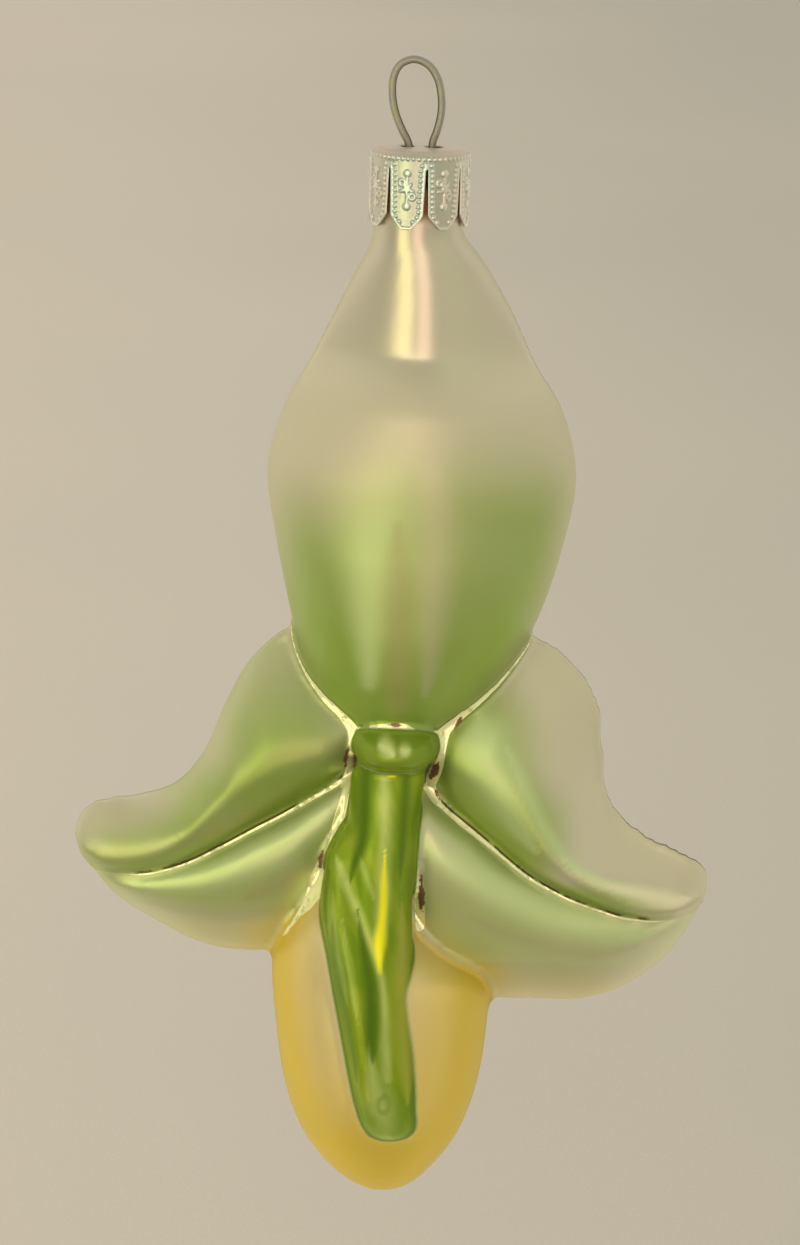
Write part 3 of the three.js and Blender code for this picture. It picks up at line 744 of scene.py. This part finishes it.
class Coat:
    """One value, colour or vector inside a finish. Sums and products add their Math nodes."""

    def __init__(self, tree, socket=None):
        self.tree = tree
        self.socket = socket

    def make(self, kind, sockets=None, output=0, **settings):
        """Any node: its type, its sockets' values or links, the output that is used, and its settings."""
        node = self.tree.nodes.new(kind)
        for name, value in settings.items():
            setattr(node, name, value)
        for name, value in (sockets or {}).items():
            if isinstance(value, Coat):
                self.tree.links.new(value.socket, node.inputs[name])
            else:
                node.inputs[name].default_value = value
        return Coat(self.tree, node.outputs[output])

    def beside(self, output):
        """Another output of the same node."""
        return Coat(self.tree, self.socket.node.outputs[output])

    def math(self, operation, other, first=None):
        """A Math node on this value and the other, or on first and the other."""
        return self.make("ShaderNodeMath", {0: self if first is None else first, 1: other}, operation=operation)

    def __add__(self, other):
        return self.math("ADD", other)

    def __radd__(self, other):
        return self.math("ADD", self, first=other)

    def __sub__(self, other):
        return self.math("SUBTRACT", other)

    def __rsub__(self, other):
        return self.math("SUBTRACT", self, first=other)

    def __mul__(self, other):
        return self.math("MULTIPLY", other)

    def __rmul__(self, other):
        return self.math("MULTIPLY", self, first=other)

    def __truediv__(self, other):
        return self.math("DIVIDE", other)

    def ease(self, low, high):
        sockets = {"Value": self, "From Min": low, "From Max": high}
        return self.make("ShaderNodeMapRange", sockets, interpolation_type="SMOOTHSTEP")

    def over(self, below, above):
        """This value lays the colour above over the colour below."""
        FACTOR, BELOW, ABOVE, MIXED = 0, 6, 7, 2
        sockets = {FACTOR: self, BELOW: below, ABOVE: above}
        return self.make("ShaderNodeMix", sockets, MIXED, data_type="RGBA")

    def mask(self, name):
        """What write_mask stored on the piece's points."""
        return self.make("ShaderNodeAttribute", output="Fac", attribute_name=name)

    def place(self):
        """Object coordinates in mm."""
        spot = self.make("ShaderNodeTexCoord", output="Object")
        return self.make("ShaderNodeVectorMath", {0: spot, "Scale": 1 / MM}, operation="SCALE")

    def noise(self, spot, scale, detail=2):
        sockets = {"Vector": spot, "Scale": scale, "Detail": detail}
        return self.make("ShaderNodeTexNoise", sockets, "Fac")

    def bump(self, height, distance):
        return self.make("ShaderNodeBump", {"Height": height, "Distance": distance}, "Normal")


def new_finish(name):
    material = bpy.data.materials.new(name)
    material.use_nodes = True
    return material, Coat(material.node_tree), material.node_tree.nodes["Principled BSDF"]


def lay(coat, shader, **sockets):
    """Links or sets the shader's sockets, named with _ for a space."""
    for name, value in sockets.items():
        socket = shader.inputs[name.replace("_", " ")]
        if isinstance(value, Coat):
            coat.tree.links.new(value.socket, socket)
        else:
            socket.default_value = value


CREAM = (0.66, 0.61, 0.46, 1)
NECK_CREAM = (0.61, 0.56, 0.44, 1)
GREEN = (0.30, 0.43, 0.085, 1)
GREEN_HIGHLIGHT = (0.61, 0.76, 0.39, 1)
SHADE_GREEN = (0.14, 0.23, 0.015, 1)
DULL_SHADE = (0.42, 0.34, 0.2, 1)
SEAM_BROWN = (0.2, 0.16, 0.08, 1)
AMBER = (0.71, 0.53, 0.085, 1)
DEEP_AMBER = (0.6, 0.41, 0.035, 1)
STALK_GREEN = (0.18, 0.3, 0.008, 1)
STALK_OLIVE = (0.27, 0.37, 0.02, 1)
STALK_HIGHLIGHT = (0.56, 0.68, 0.21, 1)
STALK_SHADE_AND_RING = (0.07, 0.15, 0.003, 1)
GOLDEN = (0.4, 0.42, 0.05, 1)
YELLOW_HIGHLIGHT = (1, 0.98, 0.01, 1)
CUSHION_GREEN = (0.22, 0.32, 0.03, 1)
GLINT = (0.85, 0.92, 0.42, 1)
POUCH_HIGHLIGHT = (0.86, 0.69, 0.31, 1)
HIGHLIGHT_CREAM = (0.88, 0.83, 0.58, 1)
SILVER = (1, 1, 0.6, 1)
DULL_SILVER = (0.66, 0.7, 0.36, 1)
CREASE_SHADOW = (0.055, 0.045, 0.015, 1)
BROWN = (0.27, 0.14, 0.08, 1)
COPPER = (0.3, 0.13, 0.06, 1)
SHADOW_BLACK = (0.01, 0.008, 0.005, 1)
GRAZING = (0.65, 0.66, 0.45, 1)
STREAK_SLANT = -0.3
STREAK_SIZE = (2.6, 2.6, 9)
LINE_EDGE = (-0.06, 0.05)
CAP_SHADOW_Z = (-14.6, -13.4)
UNDER_CAP_Z = (-18.3, -16.6)
NECK_Z = (-37, -30)
SATIN_FROM_Z = (-33, -41)
SATIN_TO_Z = (-64, -50)

lacquered_glass, coat, shader = new_finish("satin_lacquer_on_silvered_glass")
spot = coat.place()
slant = {"Vector": spot, "Rotation": (0, STREAK_SLANT, 0), "Scale": STREAK_SIZE}
along_streaks = coat.make("ShaderNodeMapping", slant, vector_type="TEXTURE")
cloud = coat.noise(spot, 0.1)
grain = coat.noise(spot, 4)
brushed = coat.noise(along_streaks, 1, 3)
ripple = coat.noise(spot, 0.5)
across = coat.make("ShaderNodeSeparateXYZ", {0: spot}, "X")
depth = across.beside("Y").math("ABSOLUTE", 0)
height = across.beside("Z")
wobble = 0.75 + 0.5 * ripple
off_stalk = (1 - coat.mask("stalk")) * (1 - coat.mask("cushion"))
below = coat.mask("below_crease") - 1
on_seam = (coat.mask("seam_line") * wobble - coat.mask("seam")).ease(*LINE_EDGE)
on_mid = (coat.mask("mid_line") * wobble - below).ease(*LINE_EDGE) * below.ease(-0.03, 0.05)
painted = (coat.mask("drawn") - 1 + (ripple - 0.5) * 0.25).ease(-0.05, 0.05)
bare = on_seam.math("MAXIMUM", on_mid).math("MAXIMUM", painted) * off_stalk
# Dark reflections painted on the bare silver, broken up by noise.
dark_reflection = (coat.mask("reflection_marks") - 1 + (coat.noise(spot, 1.3) - 0.5) * 0.6).ease(-0.08, 0.1) * off_stalk
# A painted shadow in near black along the upper side of the petals' middle creases.
shadow_line = (below + 0.6).ease(-0.1, 0.3) * (0.05 - below).ease(0, 0.1) * coat.mask("mid_line").ease(0.2, 0.4)
shadow_line = shadow_line * coat.noise(spot, 0.35, 3).ease(0.36, 0.5) * off_stalk
# Painted shade in dark green just outside the bare lines of the sepal's creases.
beside_bare = (coat.mask("seam_line") * wobble + 0.35 - coat.mask("seam")).ease(-0.2, 0.2)
beside_bare = beside_bare * coat.mask("seam_line").ease(0.1, 0.3) * off_stalk
# A dark mould seam along the outline, painted darker on the right half as shade.
seam_and_shade = (0.24 - depth).ease(0, 0.12) * (0.4 + 0.5 * across.ease(0, 0.3))
under_cap = height.ease(*UNDER_CAP_Z)
satin = height.ease(*SATIN_FROM_Z) * (0.12 + 0.13 * height.ease(*SATIN_TO_Z))
dyed = coat.mask("green").math("MAXIMUM", coat.mask("amber"))
glossy = coat.mask("stalk").math("MAXIMUM", coat.mask("cushion"))
colour = (coat.mask("amber") * (0.9 + 0.2 * cloud)).over(CREAM, AMBER)
colour = (coat.mask("green") * (0.85 + 0.3 * cloud)).over(colour, GREEN)
# Over the sprayed colours lie painted highlights and painted shade.
colour = coat.mask("pouch_highlight").over(colour, POUCH_HIGHLIGHT)
colour = coat.mask("cream_highlight").over(colour, HIGHLIGHT_CREAM)
colour = coat.mask("deep_amber").over(colour, DEEP_AMBER)
colour = (coat.mask("green_highlight") * 0.85).over(colour, GREEN_HIGHLIGHT)
colour = coat.mask("dull_shade").over(colour, DULL_SHADE)
colour = height.ease(*NECK_Z).over(colour, NECK_CREAM)
colour = coat.mask("deep").over(colour, SHADE_GREEN)
stalk_colour = brushed.ease(0.35, 0.65).over(STALK_GREEN, STALK_OLIVE)
stalk_colour = (coat.mask("pale") * (0.3 + brushed)).over(stalk_colour, STALK_HIGHLIGHT)
stalk_colour = (coat.mask("dark") * (0.5 + 0.7 * brushed)).over(stalk_colour, STALK_SHADE_AND_RING)
stalk_colour = (coat.mask("golden") * 0.8).over(stalk_colour, GOLDEN)
stalk_colour = coat.mask("streak").over(stalk_colour, YELLOW_HIGHLIGHT)
colour = coat.mask("stalk").over(colour, stalk_colour)
# The cushion is painted darker round its edge as shade.
cushion_colour = coat.mask("seam").ease(0.9, 0.1).over(CUSHION_GREEN, SHADE_GREEN)
cushion_colour = coat.mask("glints").over(cushion_colour, GLINT)
colour = coat.mask("cushion").over(colour, cushion_colour)
colour = seam_and_shade.over(colour, SEAM_BROWN)
colour = (shadow_line * 0.9).over(colour, CREASE_SHADOW)
colour = (beside_bare * 0.5).over(colour, SHADE_GREEN)
silver = coat.noise(spot, 0.9, 3).ease(0.55, 0.7).over(SILVER, DULL_SILVER)
colour = bare.over(colour, silver)
# Painted dark reflections on the bare silver.
colour = dark_reflection.over(colour, BROWN)
# Under the cap the neck is copper coloured, partly its own lacquer and partly painted shade, and near black at
# the top as painted shadow.
colour = under_cap.over(colour, COPPER)
colour = height.ease(*CAP_SHADOW_Z).over(colour, SHADOW_BLACK)
mirror = 0.72 - 0.2 * dyed - 0.15 * coat.mask("amber") - 0.3 * glossy - 0.1 * bare
dull = 0.285 + 0.03 * grain + satin + 0.2 * coat.mask("deep_amber")
uneven = grain * 0.03 + (bare + dark_reflection) * ripple * 0.3
lay(
    coat,
    shader,
    Base_Color=colour,
    Metallic=mirror * (1 - 0.8 * under_cap),
    Roughness=dull * (1 - 0.5 * bare) + 0.3 * under_cap,
    Coat_Weight=0.2 * glossy,
    Coat_Roughness=0.25,
    Normal=coat.bump(uneven, 0.3 * MM),
    Specular_IOR_Level=0.2,
    Specular_Tint=GRAZING,
)
body.data.materials.clear()
body.data.materials.append(lacquered_glass)
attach(body, "root")
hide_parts("glass_body")

# Crown cap
# One cup of thin soft tinplate, stamped in a die. Its skirt is slit into eight lobes, each with a raised
# edge, a row of beads inside it and a star between two beads. It pushes over the neck and grips it.
CAP_TOP_Z = -9.7
CAP_TOP_RADIUS = 5
CAP_RADIUS = 5.85
CAP_SHEET = 0.3
CAP_HEIGHT = 9
CAP_LOBES = 8
SLIT_TURN = math.radians(8.4)
SLIT_TOP = 2
SLIT_HALF = (0.13, 0.36)
LOBE_CORNER = 1.45
LOBE_CORNER_HEIGHT = 1.7
SHEET_SINK = 0.1
LEG_HOLES = ((-1.5, 0.95), (1.55, 1.2))
HOLE_HALF_DEPTH = 1.15
TIN = (0.78, 0.73, 0.62, 1)
ROSY_TIN = (0.8, 0.7, 0.62, 1)
MINT_SHEEN = (0.65, 0.76, 0.7, 1)
SHADED_TIN = (0.38, 0.37, 0.28, 1)
CAP_TOP_TIN = (0.62, 0.54, 0.46, 1)
CAP_TOP_BAND = (-10.4, -10.05)


def lobe_half(down):
    """Half the width of a lobe, down from the cap's top, where the slits and corners leave it."""
    half = math.pi * CAP_RADIUS / CAP_LOBES
    slit = np.interp(down, (SLIT_TOP, CAP_HEIGHT), SLIT_HALF)
    corner = np.clip((down - CAP_HEIGHT + LOBE_CORNER_HEIGHT) / LOBE_CORNER_HEIGHT, 0, 1)
    return half - np.where(down > SLIT_TOP, slit, 0) - LOBE_CORNER * corner**1.25


def bead(across, down, at_across, at_down, radius):
    """The height of a round stamped bead."""
    away = np.hypot(across - at_across, down - at_down) / radius
    return np.sqrt(np.clip(1 - away**2, 0, 1))


def stamping(across, down):
    """How far the die raises the sheet of one lobe, in mm."""
    EDGE, EDGE_RISE = 0.3, 0.14
    BEADS_IN, BEAD_PITCH, BEAD_RADIUS, BEAD_RISE = 0.58, 0.6, 0.27, 0.22
    ROLL_DOWN, ROLL_PITCHES, ROLL_RADIUS, ROLL_RISE = 0.75, 7, 0.25, 0.16
    STAR_DOWN, STAR_RADIUS, STAR_RISE = 4.3, 1, 0.2
    STAR_BEADS, STAR_BEAD_RADIUS = (2.45, 6.3), 0.46
    CURLS, CURL_OUT, CURL_RADIUS = ((-1, 3.55), (1, 5.15)), 0.62, 0.34
    inward = lobe_half(down) - np.abs(across)
    foot = CAP_HEIGHT - down
    border = np.minimum(inward, foot)
    rise = EDGE_RISE * ease(EDGE + 0.12, EDGE - 0.06, border) * (down > SLIT_TOP - 0.8)
    for k in range(12):
        at = SLIT_TOP - 0.5 + BEAD_PITCH * k
        side = lobe_half(np.array(at)) - BEADS_IN
        if at < CAP_HEIGHT - 0.6 and side > 0.2:
            rise = np.maximum(rise, BEAD_RISE * bead(np.abs(across), down, side, at, BEAD_RADIUS))
    pitch = 2 * math.pi * CAP_RADIUS / CAP_LOBES / ROLL_PITCHES
    from_bead = (across / pitch + 0.5) % 1 - 0.5
    rise = np.maximum(rise, ROLL_RISE * bead(from_bead * pitch, down, 0, ROLL_DOWN, ROLL_RADIUS))
    turn = np.arctan2(across, down - STAR_DOWN)
    reach = np.hypot(across, down - STAR_DOWN)
    points_out = STAR_RADIUS * (0.42 + 0.58 * np.abs(np.cos(2.5 * turn)) ** 3)
    rise = np.maximum(rise, STAR_RISE * ease(1.1, 0.75, reach / points_out))
    for at in STAR_BEADS:
        rise = np.maximum(rise, STAR_RISE * bead(across, down, 0, at, STAR_BEAD_RADIUS))
    stem = ease(0.2, 0.08, np.abs(across)) * ease(2.4, 2.6, down) * ease(6.2, 6, down)
    rise = np.maximum(rise, 0.6 * STAR_RISE * stem)
    for side, at in CURLS:
        curl = np.abs(np.hypot(across - side * CURL_OUT, down - at) - CURL_RADIUS)
        rise = np.maximum(rise, 0.7 * STAR_RISE * ease(0.2, 0.06, curl))
    return rise


COLUMNS = 40
TOP_ROWS, SHOULDER_ROWS, SKIRT_ROWS = 5, 9, 76
rows = TOP_ROWS + SHOULDER_ROWS + SKIRT_ROWS
bpy.ops.mesh.primitive_grid_add(x_subdivisions=COLUMNS, y_subdivisions=rows, size=2)
lobe = bpy.context.object
grid = np.array([v.co for v in lobe.data.vertices])
column = grid[:, 0]
row = np.round((1 - grid[:, 1]) / 2 * rows)
shoulder = CAP_RADIUS - CAP_TOP_RADIUS
bend = np.clip((row - TOP_ROWS) / SHOULDER_ROWS, 0, 1) * math.pi / 2
radius = np.minimum(row / TOP_ROWS, 1) * CAP_TOP_RADIUS + shoulder * np.sin(bend)
down = shoulder * (1 - np.cos(bend))
down += np.clip((row - TOP_ROWS - SHOULDER_ROWS) / SKIRT_ROWS, 0, 1) * (CAP_HEIGHT - shoulder)
across = column * lobe_half(down)
turn = np.where(row < TOP_ROWS, column * math.pi / CAP_LOBES, across / CAP_RADIUS)
rise = stamping(across, down) * (row > TOP_ROWS)
radius += (rise - SHEET_SINK) * np.sin(bend)
lift = (rise - SHEET_SINK) * np.cos(bend) * (row > TOP_ROWS)
lobe.data.vertices.foreach_set("co", (np.column_stack([
    radius * np.sin(turn),
    -radius * np.cos(turn),
    CAP_TOP_Z - down + lift,
]) * MM).ravel())
lobe.data.update()
write_mask(lobe, "relief", rise / 0.2)
lobes = [lobe]
for k in range(1, CAP_LOBES):
    pick(lobe)
    bpy.ops.object.duplicate()
    lobes.append(bpy.context.object)
for k, piece in enumerate(lobes):
    turn = SLIT_TURN + (k + 0.5) * 2 * math.pi / CAP_LOBES
    piece.data.transform(Matrix.Translation((AXIS_X * MM, 0, 0)) @ Matrix.Rotation(turn, 4, "Z"))
cap = join("crown_cap_skin", lobes)
bpy.ops.object.mode_set(mode="EDIT")
bpy.ops.mesh.select_all(action="SELECT")
bpy.ops.mesh.remove_doubles(threshold=0.01 * MM)
bpy.ops.mesh.normals_make_consistent(inside=False)
bpy.ops.object.mode_set(mode="OBJECT")
finish_with(cap, "SOLIDIFY", thickness=CAP_SHEET * MM, offset=-1)
for across, half_width in LEG_HOLES:
    bpy.ops.mesh.primitive_cylinder_add(
        vertices=32,
        radius=HOLE_HALF_DEPTH * MM,
        depth=2 * MM,
        location=((AXIS_X + across) * MM, 0, CAP_TOP_Z * MM),
    )
    hole = bpy.context.object
    hole.scale.x = half_width / HOLE_HALF_DEPTH
    bpy.ops.object.transform_apply(location=True, scale=True)
    cut(cap, hole)
for face in cap.data.polygons:
    face.use_smooth = True

stamped_cap, coat, shader = new_finish("stamped_tinplate")
spot = coat.place()
tarnish = coat.noise(spot, 0.7, 4)
scratch = coat.noise(spot, 9)
# Painted shade: the tin is darker wherever the die hasn't raised it, round the beads, the star and the edges.
shade_in_hollows = 1 - coat.mask("relief").ease(0.1, 0.7)
height = coat.make("ShaderNodeSeparateXYZ", {0: spot}, "Z")
across = height.beside("X")
# The lobes across the middle are painted mint as a painted reflection.
by_middle = (across + 3.5).ease(0, 1) * (3.6 - across).ease(0, 2.4)
on_top = height.ease(*CAP_TOP_BAND)
colour = tarnish.ease(0.45, 0.7).over(TIN, ROSY_TIN)
colour = by_middle.over(colour, MINT_SHEEN)
colour = (shade_in_hollows * 0.5).over(colour, SHADED_TIN)
colour = on_top.over(colour, CAP_TOP_TIN)
lay(
    coat,
    shader,
    Base_Color=colour,
    Metallic=0.9,
    Roughness=0.24 + 0.16 * tarnish + 0.2 * on_top,
    Normal=coat.bump(scratch, 0.02 * MM),
)
cap.data.materials.clear()
cap.data.materials.append(stamped_cap)
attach(cap, "root")
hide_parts("crown_cap")

# Wire hanger
# One piece of soft drawn spring wire, bent by hand into an egg-shaped loop. Its two legs go down through
# the holes in the cap's top and spread inside the neck, where they hold the cap on.
WIRE_RADIUS = 0.45
LOOP_LEAN = 0.35
LOOP_TOP = (0, 0.4)
LOOP_HALF = [
    (1.6, -0.2), (2.55, -1.7), (2.85, -3.9), (2.65, -5.9), (2.05, -7.8), (1.45, -9.2), (1.35, -10.1),
    (1.85, -12.2), (3.15, -18.1), (3.45, -21.7),
]
WIRE_STATIONS = 161
WIRE_GREY = (0.37, 0.35, 0.31, 1)
WIRE_YELLOW = (0.4, 0.41, 0.24, 1)
WIRE_SHADE = (0.09, 0.08, 0.06, 1)
half = np.array(LOOP_HALF)
route = np.vstack([half[::-1] * (-1, 1), [LOOP_TOP], half])
route = flow(route, np.linspace(0, 1, WIRE_STATIONS))
route[:, 0] += (AXIS_X + LOOP_LEAN) * np.clip(route[:, 1] / CAP_TOP_Z, 0, 1) - LOOP_LEAN
bpy.ops.mesh.primitive_cylinder_add(vertices=20, radius=1, depth=1, end_fill_type="NGON")
wire = bpy.context.object
wire.name = "wire_hanger_skin"
bpy.ops.object.mode_set(mode="EDIT")
bpy.ops.mesh.select_all(action="DESELECT")
bpy.ops.object.mode_set(mode="OBJECT")
for edge in wire.data.edges:
    first, second = (wire.data.vertices[i].co.z for i in edge.vertices)
    edge.select = abs(first - second) > 0.5
bpy.ops.object.mode_set(mode="EDIT")
bpy.ops.mesh.subdivide(number_cuts=len(route) - 2)
bpy.ops.object.mode_set(mode="OBJECT")
tube = np.array([v.co for v in wire.data.vertices])
station = np.round((tube[:, 2] + 0.5) * (len(route) - 1)).astype(int)
along = np.gradient(route, axis=0)
along /= np.linalg.norm(along, axis=1)[:, None]
out = np.column_stack([along[:, 1], -along[:, 0]])[station]
shaped = np.column_stack([
    route[station, 0] + out[:, 0] * tube[:, 0] * WIRE_RADIUS,
    tube[:, 1] * WIRE_RADIUS,
    route[station, 1] + out[:, 1] * tube[:, 0] * WIRE_RADIUS,
])
wire.data.vertices.foreach_set("co", (shaped * MM).ravel())
wire.data.update()
pick(wire)
bpy.ops.object.mode_set(mode="EDIT")
bpy.ops.mesh.select_all(action="SELECT")
bpy.ops.mesh.normals_make_consistent(inside=False)
bpy.ops.object.mode_set(mode="OBJECT")
write_mask(wire, "inner", 0.5 + 0.5 * tube[:, 0])
bpy.ops.object.shade_smooth_by_angle(angle=math.radians(40))

spring_wire, coat, shader = new_finish("drawn_spring_wire")
spot = coat.place()
# Yellowish patches painted as sheen, spread at random.
yellow_sheen = coat.noise(spot, 0.28, 3)
drawn = coat.noise(spot, 5)
colour = yellow_sheen.ease(0.48, 0.7).over(WIRE_GREY, WIRE_YELLOW)
colour = coat.mask("inner").ease(0.8, 0.95).over(colour, WIRE_SHADE)
lay(
    coat,
    shader,
    Base_Color=colour,
    Metallic=0.85,
    Roughness=0.5 + 0.1 * drawn,
    Normal=coat.bump(drawn, 0.02 * MM),
)
wire.data.materials.append(spring_wire)
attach(wire, "root")
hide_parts("wire_hanger")

# Floor
# A plain sheet of pale paper, wide enough to fill the view from any side. It lies clear of the hanging
# ornament, throws no shadow and isn't mirrored in the silver.
FLOOR_Z = -0.175
FLOOR_SIZE = 30
PAPER_SHADE = (0.53, 0.5, 0.46, 1)
PAPER_PALE = (0.71, 0.64, 0.58, 1)
bpy.ops.mesh.primitive_plane_add(size=FLOOR_SIZE, location=(0, 0, FLOOR_Z))
floor = bpy.context.object
floor.name = "floor"
floor.visible_glossy = False
floor.visible_shadow = False
paper, coat, shader = new_finish("pale_paper")
spot = coat.make("ShaderNodeTexCoord", output="Object")
tooth = coat.noise(spot, 1500)
to_left = coat.make("ShaderNodeSeparateXYZ", {0: spot}, "X").ease(0.25, -0.25)
# The paper is painted darker towards the right as shade, with random mottling over it.
mottle_and_shade = coat.noise(spot, 2.2) * 0.4 + to_left * 0.6
colour = mottle_and_shade.ease(0.1, 0.9).over(PAPER_SHADE, PAPER_PALE)
lay(coat, shader, Base_Color=colour, Roughness=0.85 + 0.1 * tooth, Normal=coat.bump(tooth, 0.1 * MM))
floor.data.materials.append(paper)

# Camera
# It stands at the photograph's angle, 14 degrees above level, and is turned 2 degrees about its own view.
# Its long lens frames the ornament as the photograph does.
AIM = Vector((0.00023, 0, -0.067))
DISTANCE = 0.5
ELEVATION = math.radians(14)
ROLL = math.radians(2)
LENS = 120.5
camera = bpy.data.objects.new("camera", bpy.data.cameras.new("camera"))
bpy.context.scene.collection.objects.link(camera)
bpy.context.scene.camera = camera
camera.data.sensor_width = 36
camera.data.lens = LENS
camera.data.clip_start = 0.05
camera.data.clip_end = 50
camera.matrix_world = (
    Matrix.Translation(AIM + DISTANCE * Vector((0, -math.cos(ELEVATION), math.sin(ELEVATION))))
    @ Matrix.Rotation(math.pi / 2 - ELEVATION, 4, "X")
    @ Matrix.Rotation(ROLL, 4, "Z")
)

# Light
# Soft light from all round, paler behind the ornament than before it and dim from below. On the camera's
# side are two tall window panes under a cross pane, and a warm lamp shines from the upper left.
PAPER_LIGHT = (0.60, 0.57, 0.50, 1)
ROOM_LIGHT = (0.31, 0.31, 0.25, 1)
RIGHT_WALL = (0.48, 0.48, 0.38, 1)
LOW_LIGHT = (0.12, 0.115, 0.08, 1)
LEFT_PANE = (1.75, 1.6, 0.85, 1)
RIGHT_PANE = (1.45, 1.08, 0.92, 1)
TOP_PANE = (1.9, 1.75, 1.35, 1)
STUDIO_STRENGTH = 1.42
SIDE_LIGHT = (1, 0.93, 0.78)
SIDE_LIGHT_SIZE = 0.9
SIDE_LIGHT_POWER = 6.5
SIDE_LIGHT_PLACE = (-1.1, -0.5, 0.9)
SIDE_LIGHT_AIM = (1, 0.75, -0.95)
world = bpy.data.worlds.new("studio")
bpy.context.scene.world = world
world.use_nodes = True
sky = Coat(world.node_tree)
across = sky.make("ShaderNodeSeparateXYZ", {0: sky.make("ShaderNodeTexCoord", output="Generated")}, "X")
toward = across.beside("Y") * -1
upward = across.beside("Z")
ahead = toward.math("MAXIMUM", 0.01)
bearing = across / ahead
rise = upward / ahead


def window_pane(left, right, low, high):
    """A pane with soft edges, by its sides' bearing and its foot's and head's rise."""
    wide = bearing.ease(left - 0.05, left + 0.05) * bearing.ease(right + 0.05, right - 0.05)
    tall = rise.ease(low - 0.15, low + 0.15) * rise.ease(high + 0.06, high - 0.06)
    return wide * tall * toward.ease(0, 0.1)


light = toward.ease(-0.3, 0.35).over(PAPER_LIGHT, ROOM_LIGHT)
light = (across.ease(0, 0.7) * toward.ease(-0.2, 0.3)).over(light, RIGHT_WALL)
from_below = toward.ease(0, 0.5) * upward.ease(0.1, -0.5) * (1 - 0.5 * across.ease(0, 0.6))
light = from_below.over(light, LOW_LIGHT)
light = window_pane(-1.1, -0.42, -0.7, 0.58).over(light, LEFT_PANE)
light = window_pane(-0.2, 0.2, -0.7, 0.58).over(light, RIGHT_PANE)
light = window_pane(-1.1, 0.2, 0.42, 0.6).over(light, TOP_PANE)
lay(sky, sky.tree.nodes["Background"], Color=light, Strength=STUDIO_STRENGTH)

side_light = bpy.data.objects.new("side_light", bpy.data.lights.new("side_light", "AREA"))
bpy.context.scene.collection.objects.link(side_light)
side_light.data.size = SIDE_LIGHT_SIZE
side_light.data.energy = SIDE_LIGHT_POWER
side_light.data.color = SIDE_LIGHT
side_light.visible_glossy = False
side_light.location = SIDE_LIGHT_PLACE
side_light.rotation_euler = Vector(SIDE_LIGHT_AIM).to_track_quat("-Z", "Y").to_euler()

# AgX turns the lacquer's yellow-greens grey, so the colours are shown plainly.
bpy.context.scene.view_settings.view_transform = "Standard"
